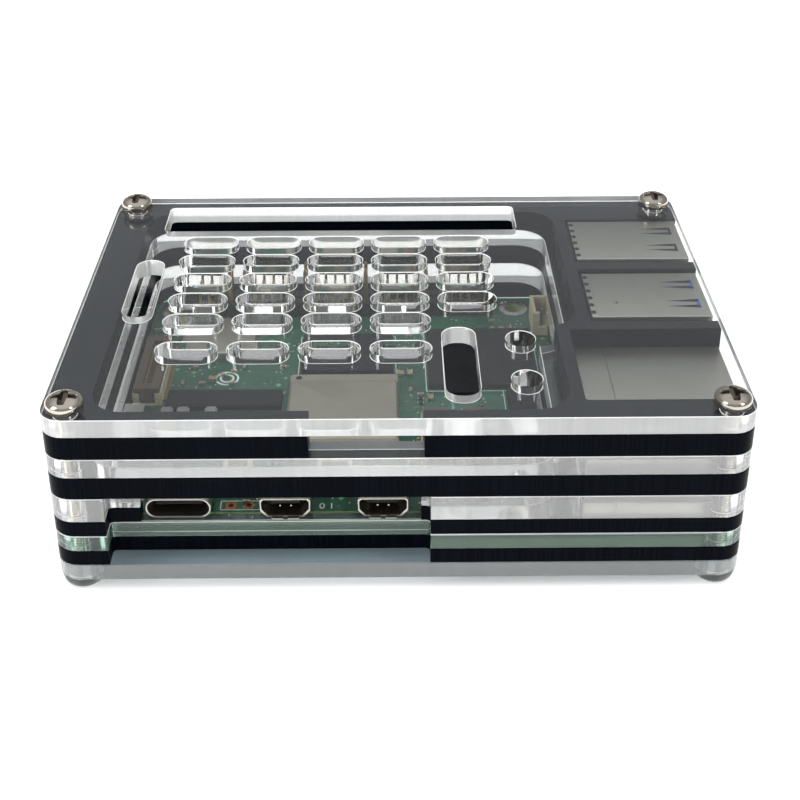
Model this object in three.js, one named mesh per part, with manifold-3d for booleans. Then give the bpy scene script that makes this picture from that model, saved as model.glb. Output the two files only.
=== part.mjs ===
// A single-board computer in a case of nine stacked laser-cut acrylic layers, clear and black in turn.
// Four long screws clamp the stack, with nuts let into the bottom plate and a foot under each corner.
// Millimetres, +Z up. The origin is on the ground under the middle of the case, +X runs along its
// length towards the network and USB jacks, and -Y is the side with the power and display sockets.
import * as THREE from "three";
import { mergeVertices } from "three/addons/utils/BufferGeometryUtils.js";
import Module from "manifold-3d";

const wasm = await Module();
wasm.setup();

// ---- driving dimensions ----
const CASE_LENGTH = 93.8;
const CASE_DEPTH = 66.2;
const CORNER_RADIUS = 3.2;
const FOOT_HEIGHT = 2.0;
const LAYER_GAP = 0.05; // the sheets never touch optically
const THICKNESS = {
  bottom_plate: 2.55,
  layer_8_black: 2.4,
  layer_7_clear: 2.5,
  layer_6_black: 2.4,
  layer_5_clear: 3.8,
  layer_4_black: 3.4,
  layer_3_clear: 3.0,
  layer_2_black: 3.45,
  top_plate: 2.75,
};

const SCREW_INSET = 3.2;
const SCREW_RADIUS = 1.25;
const SCREW_HOLE_RADIUS = 1.55;
const HEAD_RADIUS = 2.5;
const HEAD_HEIGHT = 1.9;
const NUT_ACROSS_FLATS = 4.9;
const NUT_HEIGHT = 1.9;

const BOARD_LENGTH = 85;
const BOARD_DEPTH = 56;
const BOARD_THICKNESS = 1.6;
const SIDE_MARGIN = 5.5; // case's left edge to the board's left edge
const MOUNTING_HOLES = [
  [3.5, 3.5],
  [61.5, 3.5],
  [3.5, 52.5],
  [61.5, 52.5],
];
const SEAT = 0.03; // air under a part that sits on the board

const JACK_REACH = 2.9; // how far the jacks pass the board's right edge
const PLUG_RECESS = 3.0; // how far the front is set back so that plugs reach the sockets

// ---- levels and places that follow from them ----
const HALF_LENGTH = CASE_LENGTH / 2;
const HALF_DEPTH = CASE_DEPTH / 2;
const level = {};
let stackTop = FOOT_HEIGHT;
for (const [name, thickness] of Object.entries(THICKNESS)) {
  level[name] = [stackTop + LAYER_GAP / 2, stackTop + thickness - LAYER_GAP / 2];
  stackTop += thickness;
}
const BOARD_TOP = level.layer_7_clear[1] + LAYER_GAP / 2; // the board lies flush inside layer 7
const BOARD_LEFT = -HALF_LENGTH + SIDE_MARGIN;
const BOARD_FRONT = -BOARD_DEPTH / 2;
const JACK_FACE = BOARD_LEFT + BOARD_LENGTH + JACK_REACH;
const CORNERS = { front_left: [-1, -1], front_right: [1, -1], rear_left: [-1, 1], rear_right: [1, 1] };

// ---- materials ----
const paint = (color, roughness, metalness = 0, extra = {}) =>
  new THREE.MeshStandardMaterial({ color, roughness, metalness, ...extra });
const clearAcrylic = paint(0xeef2f2, 0.05, 0, { transparent: true, opacity: 0.3 });
const blackAcrylic = paint(0x0b0c11, 0.15);
const nickel = paint(0xb9b3a6, 0.25, 1);
const shellSteel = paint(0xa9a79b, 0.3, 1);
const lidMetal = paint(0xa39c8c, 0.45, 1);
const boardGreen = paint(0x145a38, 0.4);
const chipBlack = paint(0x17191c, 0.6);
const blackPlastic = paint(0x101010, 0.5);
const creamPlastic = paint(0xd9d2bd, 0.5);
const brownPlastic = paint(0x3a2c22, 0.5);
const bluePlastic = paint(0x1c4fb5, 0.4);
const rubber = paint(0xdfe3e2, 0.3, 0, { transparent: true, opacity: 0.5 });
const whitePlastic = paint(0xf0f0ea, 0.4);

// ---- solids ----
// A closed geometry as a solid that can be joined and cut.
function solid(geometry) {
  const loose = geometry.index ? geometry.toNonIndexed() : geometry;
  const bare = new THREE.BufferGeometry().setAttribute("position", loose.getAttribute("position"));
  const merged = mergeVertices(bare, 1e-4);
  return new wasm.Manifold(
    new wasm.Mesh({
      numProp: 3,
      vertProperties: merged.attributes.position.array,
      triVerts: new Uint32Array(merged.index.array),
    }),
  );
}

// A solid back as a geometry.
function geometryOf(body) {
  const mesh = body.getMesh();
  const geometry = new THREE.BufferGeometry();
  geometry.setAttribute("position", new THREE.BufferAttribute(mesh.vertProperties, 3));
  geometry.setIndex(new THREE.BufferAttribute(mesh.triVerts, 1));
  geometry.computeVertexNormals();
  return geometry;
}

// A box between two corners.
function block(x0, x1, y0, y1, z0, z1) {
  const box = new THREE.BoxGeometry(x1 - x0, y1 - y0, z1 - z0);
  box.translate((x0 + x1) / 2, (y0 + y1) / 2, (z0 + z1) / 2);
  return solid(box);
}

// A rectangle with round corners as an outline.
function roundedRect(x0, x1, y0, y1, radius) {
  const shape = new THREE.Shape();
  shape.moveTo(x0 + radius, y0);
  shape.lineTo(x1 - radius, y0);
  shape.absarc(x1 - radius, y0 + radius, radius, -Math.PI / 2, 0);
  shape.lineTo(x1, y1 - radius);
  shape.absarc(x1 - radius, y1 - radius, radius, 0, Math.PI / 2);
  shape.lineTo(x0 + radius, y1);
  shape.absarc(x0 + radius, y1 - radius, radius, Math.PI / 2, Math.PI);
  shape.lineTo(x0, y0 + radius);
  shape.absarc(x0 + radius, y0 + radius, radius, Math.PI, 1.5 * Math.PI);
  return shape;
}

// A polygon outline from a list of points.
const outline = (points) => new THREE.Shape(points.map(([x, y]) => new THREE.Vector2(x, y)));

// An outline in the XY plane raised from z0 to z1.
function prism(shape, z0, z1, curveSegments = 4) {
  const raised = new THREE.ExtrudeGeometry(shape, { depth: z1 - z0, bevelEnabled: false, curveSegments });
  raised.translate(0, 0, z0);
  return solid(raised);
}

// An outline in the XZ plane carried from y0 to y1.
function alongY(shape, y0, y1, curveSegments = 3) {
  const carried = new THREE.ExtrudeGeometry(shape, { depth: y1 - y0, bevelEnabled: false, curveSegments });
  carried.rotateX(Math.PI / 2);
  carried.translate(0, y1, 0);
  return solid(carried);
}

// A round solid on a vertical axis through (x, y), from z0 to z1.
function disc(x, y, radius, z0, z1, sides = 12) {
  const cylinder = new THREE.CylinderGeometry(radius, radius, z1 - z0, sides);
  cylinder.rotateX(Math.PI / 2);
  cylinder.translate(x, y, (z0 + z1) / 2);
  return solid(cylinder);
}

// Everything in the list taken out of a body.
const without = (body, cuts) => cuts.reduce((left, cut) => left.subtract(cut), body);

// Everything in the list joined into one body.
const joined = (bodies) => bodies.reduce((all, body) => all.add(body));

const computer = new THREE.Group();
computer.name = "single_board_computer";

// One named sub-part.
function place(name, body, material) {
  const mesh = new THREE.Mesh(geometryOf(body), material);
  mesh.name = name;
  computer.add(mesh);
}

// ---- case layers ----
const PASS = 1; // how far a cutter runs past the face it opens
const WINDOW_LEFT = -HALF_LENGTH + 5.9;
const WINDOW_REAR = HALF_DEPTH - 3.9;
const WINDOW_FRONT = -HALF_DEPTH + 3.9;
const WINDOW_RADIUS = 4.5;
const BAR_WIDTH = 2.3; // the fingers between neighbouring jacks
const BAR_NETWORK = -8.1;
const BAR_USB = 9.95;
const NETWORK_OPENING = { left: BOARD_LEFT + 66.3, front: -27.1, rear: BAR_NETWORK - BAR_WIDTH / 2 };
const USB_OPENING_LEFT = BOARD_LEFT + 69.7;
const USB_OPENING_REAR = 26.0;
const RECESS = { left: -39.4, right: 4.2 };
const SOCKET_GAP = { left: -35.2, right: 3.0 };
const NOTCH = { left: -11.9, right: 3.3 };

const screwAxes = Object.values(CORNERS).map(([sx, sy]) => [
  sx * (HALF_LENGTH - SCREW_INSET),
  sy * (HALF_DEPTH - SCREW_INSET),
]);

// A full sheet of one layer with its four screw holes.
function sheet(name) {
  const [z0, z1] = level[name];
  const plate = prism(roundedRect(-HALF_LENGTH, HALF_LENGTH, -HALF_DEPTH, HALF_DEPTH, CORNER_RADIUS), z0, z1);
  const holes = screwAxes.map(([x, y]) => disc(x, y, SCREW_HOLE_RADIUS, z0 - PASS, z1 + PASS));
  return without(plate, holes);
}

// A cutter with round corners that goes right through a layer.
function through(name, x0, x1, y0, y1, radius) {
  const [z0, z1] = level[name];
  const curveSegments = Math.min(4, 1 + Math.floor(radius));
  return prism(roundedRect(x0, x1, y0, y1, radius), z0 - PASS, z1 + PASS, curveSegments);
}

// The chamber over the board: wide behind the network jack's web, narrower beside it.
function chamberCuts(name, right, rightByNetwork, front = WINDOW_FRONT) {
  return [
    through(name, WINDOW_LEFT, rightByNetwork, front, WINDOW_REAR, WINDOW_RADIUS),
    through(name, rightByNetwork - 4 * WINDOW_RADIUS, right, BAR_NETWORK, WINDOW_REAR, WINDOW_RADIUS),
  ];
}

// The three openings to the right for the jacks, with a bar left between each two.
function jackCuts(name) {
  const past = HALF_LENGTH + PASS;
  const half = BAR_WIDTH / 2;
  return [
    through(name, NETWORK_OPENING.left, past, NETWORK_OPENING.front, NETWORK_OPENING.rear, 0.4),
    through(name, USB_OPENING_LEFT, past, BAR_NETWORK + half, BAR_USB - half, 0.4),
    through(name, USB_OPENING_LEFT, past, BAR_USB + half, USB_OPENING_REAR, 0.4),
  ];
}

// The step in the front that lets plug bodies come close to the sockets.
function recessCut(name) {
  return through(name, RECESS.left, RECESS.right, -HALF_DEPTH - PASS, -HALF_DEPTH + PLUG_RECESS, 0.5);
}

// Layers 5 and 6 stand around the parts on the board: open at the sockets and at the jacks, with a
// hollow in the web for the fan connector.
const FAN = { x: 65.6, y: 46.5, length: 3.4, depth: 6.0 };
function boardLevelCuts(name) {
  const wallBack = BOARD_FRONT - 0.2;
  const fanX = BOARD_LEFT + FAN.x;
  const fanY = BOARD_FRONT + FAN.y;
  return [
    ...chamberCuts(name, 25.0, 20.8, wallBack),
    ...jackCuts(name),
    through(name, fanX - 4, fanX + FAN.length / 2 + 0.4, fanY - FAN.depth / 2 - 0.4, fanY + FAN.depth / 2 + 0.4, 0.4),
    through(name, SOCKET_GAP.left, SOCKET_GAP.right, -HALF_DEPTH - PASS, wallBack + 5, 0.4),
    recessCut(name),
  ];
}

const SLOT_RADIUS = 2.1;
const PILL = { length: 8.65, depth: 4.1 };
const PILL_PITCH = 10.02;
const PILL_FIRST = [-29.65, 16.4];
const PILL_ROW_PITCH = 6.13;
const PILL_LAST_ROW = -15.9;
const PIN_SLOT = { left: -37.8, right: 19.7, front: 20.6, rear: 29.2 };
const CABLE_SLOT = { left: 6.25, right: 11.0, front: -27.8, rear: -10.35 };
const SIDE_SLOT = { left: -40.4, right: -36.1, front: -6.9, rear: 10.6 };
const ROUND_VENTS = [
  [17.35, -13.5],
  [17.35, -23.8],
];
const ROUND_VENT_RADIUS = 2.1;

// Four rows of five vents over the board, one of four, and one of four set apart by the processor.
function ventCentres() {
  const rows = [5, 5, 5, 5, 4].map((count, row) => [count, PILL_FIRST[1] - row * PILL_ROW_PITCH]);
  rows.push([4, PILL_LAST_ROW]);
  return rows.flatMap(([count, y]) =>
    Array.from({ length: count }, (_, column) => [PILL_FIRST[0] + column * PILL_PITCH, y]),
  );
}

function topPlate() {
  const name = "top_plate";
  const [z0, z1] = level[name];
  const vents = ventCentres().map(([x, y]) =>
    through(name, x - PILL.length / 2, x + PILL.length / 2, y - PILL.depth / 2, y + PILL.depth / 2, 2.04),
  );
  const slots = [
    through(name, PIN_SLOT.left, PIN_SLOT.right, PIN_SLOT.front, PIN_SLOT.rear, 0.8),
    through(name, CABLE_SLOT.left, CABLE_SLOT.right, CABLE_SLOT.front, CABLE_SLOT.rear, SLOT_RADIUS),
    through(name, SIDE_SLOT.left, SIDE_SLOT.right, SIDE_SLOT.front, SIDE_SLOT.rear, SLOT_RADIUS),
  ];
  const rounds = ROUND_VENTS.map(([x, y]) => disc(x, y, ROUND_VENT_RADIUS, z0 - PASS, z1 + PASS));
  return without(sheet(name), [...vents, ...slots, ...rounds]);
}

place("top_plate", topPlate(), clearAcrylic);
place(
  "layer_2_black",
  without(sheet("layer_2_black"), [
    ...chamberCuts("layer_2_black", 26.2, 22.9),
    ...jackCuts("layer_2_black"),
    through("layer_2_black", NOTCH.left, NOTCH.right, -HALF_DEPTH - PASS, WINDOW_FRONT + 8, 0.4),
  ]),
  blackAcrylic,
);
for (const [name, material] of [
  ["layer_3_clear", clearAcrylic],
  ["layer_4_black", blackAcrylic],
])
  place(name, without(sheet(name), [...chamberCuts(name, 25.0, 20.8), ...jackCuts(name)]), material);
place("layer_5_clear", without(sheet("layer_5_clear"), boardLevelCuts("layer_5_clear")), clearAcrylic);

// Layer 6 is open at the power button too, which leaves its front left corner as a loose spacer.
const BUTTON_Y = BOARD_FRONT + 18.5;
const layer6 = without(sheet("layer_6_black"), [
  ...boardLevelCuts("layer_6_black"),
  through("layer_6_black", -HALF_LENGTH - PASS, WINDOW_LEFT + 3, BUTTON_Y - 3.2, BUTTON_Y + 3.2, 0.4),
]).decompose();
layer6.sort((a, b) => b.volume() - a.volume());
place("layer_6_black", layer6[0], blackAcrylic);
place("layer_6_black_corner", layer6[1], blackAcrylic);

const BOARD_CLEARANCE = 0.3;
const boardRight = BOARD_LEFT + BOARD_LENGTH;
place(
  "layer_7_clear",
  without(sheet("layer_7_clear"), [
    through(
      "layer_7_clear",
      BOARD_LEFT - BOARD_CLEARANCE,
      boardRight + BOARD_CLEARANCE,
      BOARD_FRONT - BOARD_CLEARANCE,
      -BOARD_FRONT + BOARD_CLEARANCE,
      2.8,
    ),
    through("layer_7_clear", boardRight - 6, HALF_LENGTH + PASS, NETWORK_OPENING.front, USB_OPENING_REAR, 0.4),
    recessCut("layer_7_clear"),
  ]),
  clearAcrylic,
);

const LEDGE = 3; // how far layer 8 reaches under the board's rim
const CARD_CUT = { front: BOARD_FRONT + 20.5, rear: BOARD_FRONT + 35 };
place(
  "layer_8_black",
  without(sheet("layer_8_black"), [
    through("layer_8_black", BOARD_LEFT + LEDGE, boardRight - LEDGE, BOARD_FRONT + 2, -BOARD_FRONT - 2, 3),
    through("layer_8_black", -HALF_LENGTH - PASS, BOARD_LEFT + 8, CARD_CUT.front, CARD_CUT.rear, 0.4),
    recessCut("layer_8_black"),
  ]),
  blackAcrylic,
);

// A six-sided prism standing on z0, with its flats facing front and rear.
function hexagon(x, y, acrossFlats, z0, z1) {
  const points = Array.from({ length: 6 }, (_, k) => {
    const angle = (k * Math.PI) / 3;
    const reach = acrossFlats / Math.sqrt(3);
    return [x + reach * Math.cos(angle), y + reach * Math.sin(angle)];
  });
  return prism(outline(points), z0, z1);
}

const NUT_BOTTOM = FOOT_HEIGHT + 0.1;
const NUT_POCKET_TOP = NUT_BOTTOM + NUT_HEIGHT + 0.1;
place(
  "bottom_plate",
  without(
    sheet("bottom_plate"),
    screwAxes.map(([x, y]) => hexagon(x, y, NUT_ACROSS_FLATS + 0.5, FOOT_HEIGHT - PASS, NUT_POCKET_TOP)),
  ),
  clearAcrylic,
);

// ---- fasteners and feet ----
// A pan-head screw: a domed head with a cross recess over a plain shank that reaches the nut.
function screw(x, y) {
  const seat = stackTop + 0.01;
  const shankEnd = FOOT_HEIGHT + 0.3;
  const profile = [
    [0, shankEnd],
    [SCREW_RADIUS, shankEnd],
    [SCREW_RADIUS, seat],
    [HEAD_RADIUS, seat],
    [HEAD_RADIUS, seat + 0.8],
    [HEAD_RADIUS * 0.93, seat + 1.3],
    [HEAD_RADIUS * 0.7, seat + 1.7],
    [0, seat + HEAD_HEIGHT],
  ];
  const turned = new THREE.LatheGeometry(
    profile.map(([r, z]) => new THREE.Vector2(r, z)),
    12,
  );
  turned.rotateX(Math.PI / 2);
  turned.translate(x, y, 0);
  const top = seat + HEAD_HEIGHT + PASS;
  const floor = seat + 0.8;
  const crossRecess = [block(x - 1.4, x + 1.4, y - 0.35, y + 0.35, floor, top)];
  crossRecess.push(block(x - 0.35, x + 0.35, y - 1.4, y + 1.4, floor, top));
  return without(solid(turned), crossRecess);
}

// A clear bumper foot: flat underneath, domed at the rim, wide where it sticks to the plate.
function foot(x, y) {
  const profile = [
    [0, 0],
    [1.9, 0],
    [2.6, 0.45],
    [2.95, 1.1],
    [3.1, FOOT_HEIGHT],
    [0, FOOT_HEIGHT],
  ];
  const turned = new THREE.LatheGeometry(
    profile.map(([r, z]) => new THREE.Vector2(r, z)),
    16,
  );
  turned.rotateX(Math.PI / 2);
  turned.translate(x, y, 0);
  return solid(turned);
}

Object.keys(CORNERS).forEach((corner, index) => {
  const [x, y] = screwAxes[index];
  place("screw_" + corner, screw(x, y), nickel);
  const ring = hexagon(x, y, NUT_ACROSS_FLATS, NUT_BOTTOM, NUT_BOTTOM + NUT_HEIGHT);
  const bore = disc(x, y, SCREW_HOLE_RADIUS, NUT_BOTTOM - PASS, NUT_BOTTOM + NUT_HEIGHT + PASS);
  place("nut_" + corner, ring.subtract(bore), nickel);
  place("foot_" + corner, foot(x, y), rubber);
});

// ---- the circuit board ----
const boardPlate = prism(
  roundedRect(BOARD_LEFT, boardRight, BOARD_FRONT, -BOARD_FRONT, 3),
  BOARD_TOP - BOARD_THICKNESS,
  BOARD_TOP,
);
const boardHoles = MOUNTING_HOLES.map(([x, y]) =>
  disc(BOARD_LEFT + x, BOARD_FRONT + y, 1.35, BOARD_TOP - BOARD_THICKNESS - PASS, BOARD_TOP + PASS),
);
place("circuit_board", without(boardPlate, boardHoles), boardGreen);

// ---- parts on the board: x to the right and y to the rear from the board's front left corner,
// z up from its top face ----
const bx = (x) => BOARD_LEFT + x;
const by = (y) => BOARD_FRONT + y;
const bz = (z) => BOARD_TOP + SEAT + z;

// A plain block on the board, given its middle and its size.
function chip(x, y, length, depth, height, base = 0) {
  return block(bx(x - length / 2), bx(x + length / 2), by(y - depth / 2), by(y + depth / 2), bz(base), bz(base + height));
}

const PROCESSOR = { x: 33.2, y: 20.6, size: 17.4, lid: 16.7, substrate: 0.7, top: 2.4 };
place("processor_substrate", chip(PROCESSOR.x, PROCESSOR.y, PROCESSOR.size, PROCESSOR.size, PROCESSOR.substrate), boardGreen);
const lidSkirt = chip(PROCESSOR.x, PROCESSOR.y, PROCESSOR.lid, PROCESSOR.lid, 0.5, PROCESSOR.substrate + 0.02);
const lidCrown = chip(PROCESSOR.x, PROCESSOR.y, PROCESSOR.lid, PROCESSOR.lid - 3.2, 1.7, PROCESSOR.substrate + 0.02);
place("processor_lid", lidSkirt.add(lidCrown), lidMetal);
place("memory_chip", chip(33.5, 37.5, 14.6, 11.0, 1.0), chipBlack);
place("io_controller_chip", chip(54.9, 36.1, 17.0, 16.8, 0.9), chipBlack);
place("power_management_chip", chip(14.9, 24.6, 17.6, 4.4, 0.9), chipBlack);
place("wireless_module_shield", chip(12.4, 41.7, 12.0, 11.0, 1.6), shellSteel);
place("network_chip", chip(61.3, 23.8, 6.0, 6.0, 0.9), chipBlack);
place("status_led", chip(1.6, 22.4, 1.2, 1.8, 0.8), whitePlastic);
[6.5, 9.0, 13.2].forEach((x, index) => {
  place("inductor_" + (index + 1), chip(x, 21.2, 1.9, 1.5, 1.1), shellSteel);
});

// ---- pin headers ----
const PIN_PITCH = 2.54;
const PIN_WIDTH = 0.64;

// A header of square pins standing in a plastic base.
function header(x, y, columns, rows, pinTop) {
  const pins = [];
  for (let column = 0; column < columns; column += 1)
    for (let row = 0; row < rows; row += 1) {
      const pinX = x + (column - (columns - 1) / 2) * PIN_PITCH;
      const pinY = y + (row - (rows - 1) / 2) * PIN_PITCH;
      pins.push(chip(pinX, pinY, PIN_WIDTH, PIN_WIDTH, pinTop - 1, 1));
    }
  return joined([chip(x, y, columns * PIN_PITCH, rows * PIN_PITCH, PIN_PITCH), ...pins]);
}
place("gpio_header", header(32.5, 52.5, 20, 2, 8.5), blackPlastic);
place("power_over_network_header", header(58.95, 7.0, 2, 2, 8.0), blackPlastic);

// ---- stacked USB jacks ----
const USB = { length: 17.8, width: 13.14, height: 15.9, wall: 0.45, y3: 29.1, y2: 47.0 };

// A steel shell open to the right, with a bar across its mouth between the two ports.
function usbShell(y) {
  const left = JACK_FACE - USB.length;
  const half = USB.width / 2;
  const inner = half - USB.wall;
  const box = block(left, JACK_FACE, by(y) - half, by(y) + half, bz(0), bz(USB.height));
  const hollow = block(left + 1.3, JACK_FACE + PASS, by(y) - inner, by(y) + inner, bz(0.45), bz(USB.height - 0.45));
  const divider = block(JACK_FACE - 8.5, JACK_FACE, by(y) - half, by(y) + half, bz(6.9), bz(9.1));
  return box.subtract(hollow).add(divider);
}

// The plastic inside: a block at the back and one tongue in the upper part of each port.
function usbInsulator(y) {
  const back = JACK_FACE - USB.length + 1.6;
  const half = USB.width / 2 - USB.wall - 0.3;
  const core = block(back, back + 4, by(y) - half, by(y) + half, bz(0.75), bz(USB.height - 0.75));
  const tongues = [4.85, 13.2].map((z) =>
    block(back + 3, JACK_FACE - 0.7, by(y) - half, by(y) + half, bz(z), bz(z + 1.7)),
  );
  return joined([core, ...tongues]);
}
place("usb3_shell", usbShell(USB.y3), shellSteel);
place("usb3_insulator", usbInsulator(USB.y3), bluePlastic);
place("usb2_shell", usbShell(USB.y2), shellSteel);
place("usb2_insulator", usbInsulator(USB.y2), blackPlastic);

// ---- network jack ----
const NETWORK = { length: 21.3, width: 16.0, height: 13.5, y: 10.2 };
function networkShell() {
  const left = JACK_FACE - NETWORK.length;
  const half = NETWORK.width / 2;
  const y = by(NETWORK.y);
  const box = block(left, JACK_FACE, y - half, y + half, bz(0), bz(NETWORK.height));
  const hollow = block(left + 4.5, JACK_FACE + PASS, y - half + 0.6, y + half - 0.6, bz(0.6), bz(NETWORK.height - 0.6));
  return box.subtract(hollow);
}

// The plastic body with its plug cavity and the keyway for the plug's latch below it.
function networkInsert() {
  const left = JACK_FACE - NETWORK.length + 4.8;
  const y = by(NETWORK.y);
  const body = block(left, JACK_FACE - 0.3, y - 7.1, y + 7.1, bz(0.9), bz(NETWORK.height - 0.9));
  const plug = block(left + 2, JACK_FACE + PASS, y - 5.95, y + 5.95, bz(4.2), bz(11.6));
  const keyway = block(left + 2, JACK_FACE + PASS, y - 3.2, y + 3.2, bz(1.8), bz(5));
  return without(body, [plug, keyway]);
}
place("network_jack_shell", networkShell(), shellSteel);
place("network_jack_insert", networkInsert(), blackPlastic);

// ---- sockets on the front edge ----
const SOCKET_MOUTH = -1.3;
const POWER_SOCKET = { x: 11.2, width: 8.94, height: 3.2, depth: 7.3, wall: 0.3 };

// The power socket: a rolled steel tube with pill-shaped ends around a thin tongue.
function powerShell() {
  const { x, width, height, depth, wall } = POWER_SOCKET;
  const half = width / 2;
  const outer = roundedRect(bx(x) - half, bx(x) + half, bz(0), bz(height), height / 2 - 0.02);
  const inner = roundedRect(
    bx(x) - half + wall,
    bx(x) + half - wall,
    bz(wall),
    bz(height - wall),
    height / 2 - wall - 0.02,
  );
  const mouth = by(SOCKET_MOUTH);
  return alongY(outer, mouth, mouth + depth).subtract(alongY(inner, mouth - PASS, mouth + depth - 0.5));
}
function powerTongue() {
  const x = bx(POWER_SOCKET.x);
  const rear = by(SOCKET_MOUTH) + POWER_SOCKET.depth - 0.8;
  const base = block(x - 3.0, x + 3.0, rear - 1.2, rear, bz(0.65), bz(2.55));
  return base.add(block(x - 3.3, x + 3.3, rear - 5.6, rear, bz(1.25), bz(1.95)));
}
place("power_socket_shell", powerShell(), shellSteel);
place("power_socket_tongue", powerTongue(), blackPlastic);

// A small display socket: a shell narrowing at its lower corners, with a tongue inside.
const DISPLAY_SOCKET = { width: 6.9, height: 3.1, depth: 7.4, wall: 0.35, taper: 0.9 };
function displayOutline(x, grow) {
  const half = DISPLAY_SOCKET.width / 2 - grow;
  const low = bz(grow);
  const high = bz(DISPLAY_SOCKET.height - grow);
  const taper = DISPLAY_SOCKET.taper;
  return outline([
    [bx(x) - half + taper, low],
    [bx(x) + half - taper, low],
    [bx(x) + half, low + taper * 1.2],
    [bx(x) + half, high - 0.3],
    [bx(x) + half - 0.3, high],
    [bx(x) - half + 0.3, high],
    [bx(x) - half, high - 0.3],
    [bx(x) - half, low + taper * 1.2],
  ]);
}
[25.8, 39.2].forEach((x, index) => {
  const mouth = by(SOCKET_MOUTH);
  const rear = mouth + DISPLAY_SOCKET.depth;
  const tube = alongY(displayOutline(x, 0), mouth, rear);
  const bore = alongY(displayOutline(x, DISPLAY_SOCKET.wall), mouth - PASS, rear - 0.6);
  place("display_socket_shell_" + (index + 1), tube.subtract(bore), shellSteel);
  const base = block(bx(x) - 2.2, bx(x) + 2.2, rear - 2.2, rear - 0.9, bz(0.7), bz(2.4));
  const tongue = block(bx(x) - 2.1, bx(x) + 2.1, rear - 6.3, rear - 0.9, bz(1.45), bz(2.05));
  place("display_socket_tongue_" + (index + 1), base.add(tongue), blackPlastic);
});

// ---- flat-cable connectors, each with a latch that lifts to free the cable ----
const RIBBON = { length: 15.4, width: 4.4, bodyHeight: 2.2, latchTop: 3.1, ear: 0.9 };

// The body: a trough for the cable, notched at both ends for the latch's ears.
function ribbonBody(x, y) {
  const halfLength = RIBBON.length / 2;
  const body = chip(x, y, RIBBON.width, RIBBON.length, RIBBON.bodyHeight);
  const trough = chip(x, y, 1.5, RIBBON.length - 2.6, RIBBON.bodyHeight, 0.7);
  const ends = [-1, 1].map((side) => chip(x, y + side * halfLength, 2.4, 2.2, RIBBON.bodyHeight, 0.3));
  return without(body, [trough, ...ends]);
}

// The latch: a frame that lies on the body, its ears reaching down into the end notches.
function ribbonLatch(x, y) {
  const low = RIBBON.bodyHeight + 0.1;
  const height = RIBBON.latchTop - low;
  const halfLength = RIBBON.length / 2;
  const frame = chip(x, y, RIBBON.width - 0.4, RIBBON.length, height, low);
  const slot = chip(x, y, 1.4, RIBBON.length - 3, 2, low - 0.5);
  const ears = [-1, 1].map((side) =>
    chip(x, y + side * (halfLength - 0.4), 1.6, 0.8, RIBBON.latchTop - 0.9, 0.7),
  );
  return joined([frame.subtract(slot), ...ears]);
}
for (const [name, x, y] of [
  ["camera_connector_1", 47.0, 10.6],
  ["camera_connector_2", 53.0, 10.6],
  ["expansion_connector", 3.2, 31.4],
]) {
  place(name + "_body", ribbonBody(x, y), creamPlastic);
  place(name + "_latch", ribbonLatch(x, y), brownPlastic);
}

// ---- small upright connectors ----
// A shrouded connector: a box with an open well and a slit in its front wall.
function shroud(x, y, length, depth, height) {
  const well = chip(x, y, length - 1.2, depth - 1.2, height, 0.9);
  const slit = chip(x, y - depth / 2, length / 3, 1.6, height, 1.6);
  return without(chip(x, y, length, depth, height), [well, slit]);
}
place("fan_connector", shroud(FAN.x, FAN.y, FAN.length, FAN.depth, 4.25), creamPlastic);
place("battery_connector", shroud(18.9, 7.2, 4.0, 3.0, 4.25), creamPlastic);
place("serial_connector", shroud(32.5, 6.4, 5.0, 3.0, 4.25), creamPlastic);

// ---- power button on the left edge ----
const BUTTON = { length: 3.0, width: 4.6, height: 2.4, stem: 1.6, stemWidth: 2.0, stemHeight: 1.3, reach: 1.1 };
const buttonY = BUTTON_Y - BOARD_FRONT;
const buttonBody = chip(2.0, buttonY, BUTTON.length, BUTTON.width, BUTTON.height);
const stemWell = block(
  bx(0.4),
  bx(2.4),
  by(buttonY) - BUTTON.stemWidth / 2 - 0.3,
  by(buttonY) + BUTTON.stemWidth / 2 + 0.3,
  bz(0.4),
  bz(2.0),
);
place("power_button_housing", buttonBody.subtract(stemWell), shellSteel);
place(
  "power_button_plunger",
  block(
    bx(-BUTTON.reach + 0.3),
    bx(2.0),
    by(buttonY) - BUTTON.stemWidth / 2,
    by(buttonY) + BUTTON.stemWidth / 2,
    bz(0.6),
    bz(0.6 + BUTTON.stemHeight),
  ),
  whitePlastic,
);

// ---- memory card socket under the board ----
const CARD_SOCKET = { length: 14.6, width: 12.4, height: 1.4, y: 27.7 };
const underside = BOARD_TOP - BOARD_THICKNESS - SEAT;
const cardY = by(CARD_SOCKET.y);
const cardShell = block(
  bx(0.6),
  bx(0.6 + CARD_SOCKET.length),
  cardY - CARD_SOCKET.width / 2,
  cardY + CARD_SOCKET.width / 2,
  underside - CARD_SOCKET.height,
  underside,
);
const cardMouth = block(bx(-1), bx(12), cardY - 5.6, cardY + 5.6, underside - 1.15, underside - 0.3);
place("card_socket", cardShell.subtract(cardMouth), shellSteel);

export default computer;
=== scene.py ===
"""A single-board computer in a case of nine laser-cut acrylic layers: its pieces, finishes, light and camera.

Lengths are millimetres until a mesh is made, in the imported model's frame."""

import math

import bmesh
import bpy
import numpy as np
from mathutils import Matrix, Vector
from mathutils.geometry import tessellate_polygon


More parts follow.
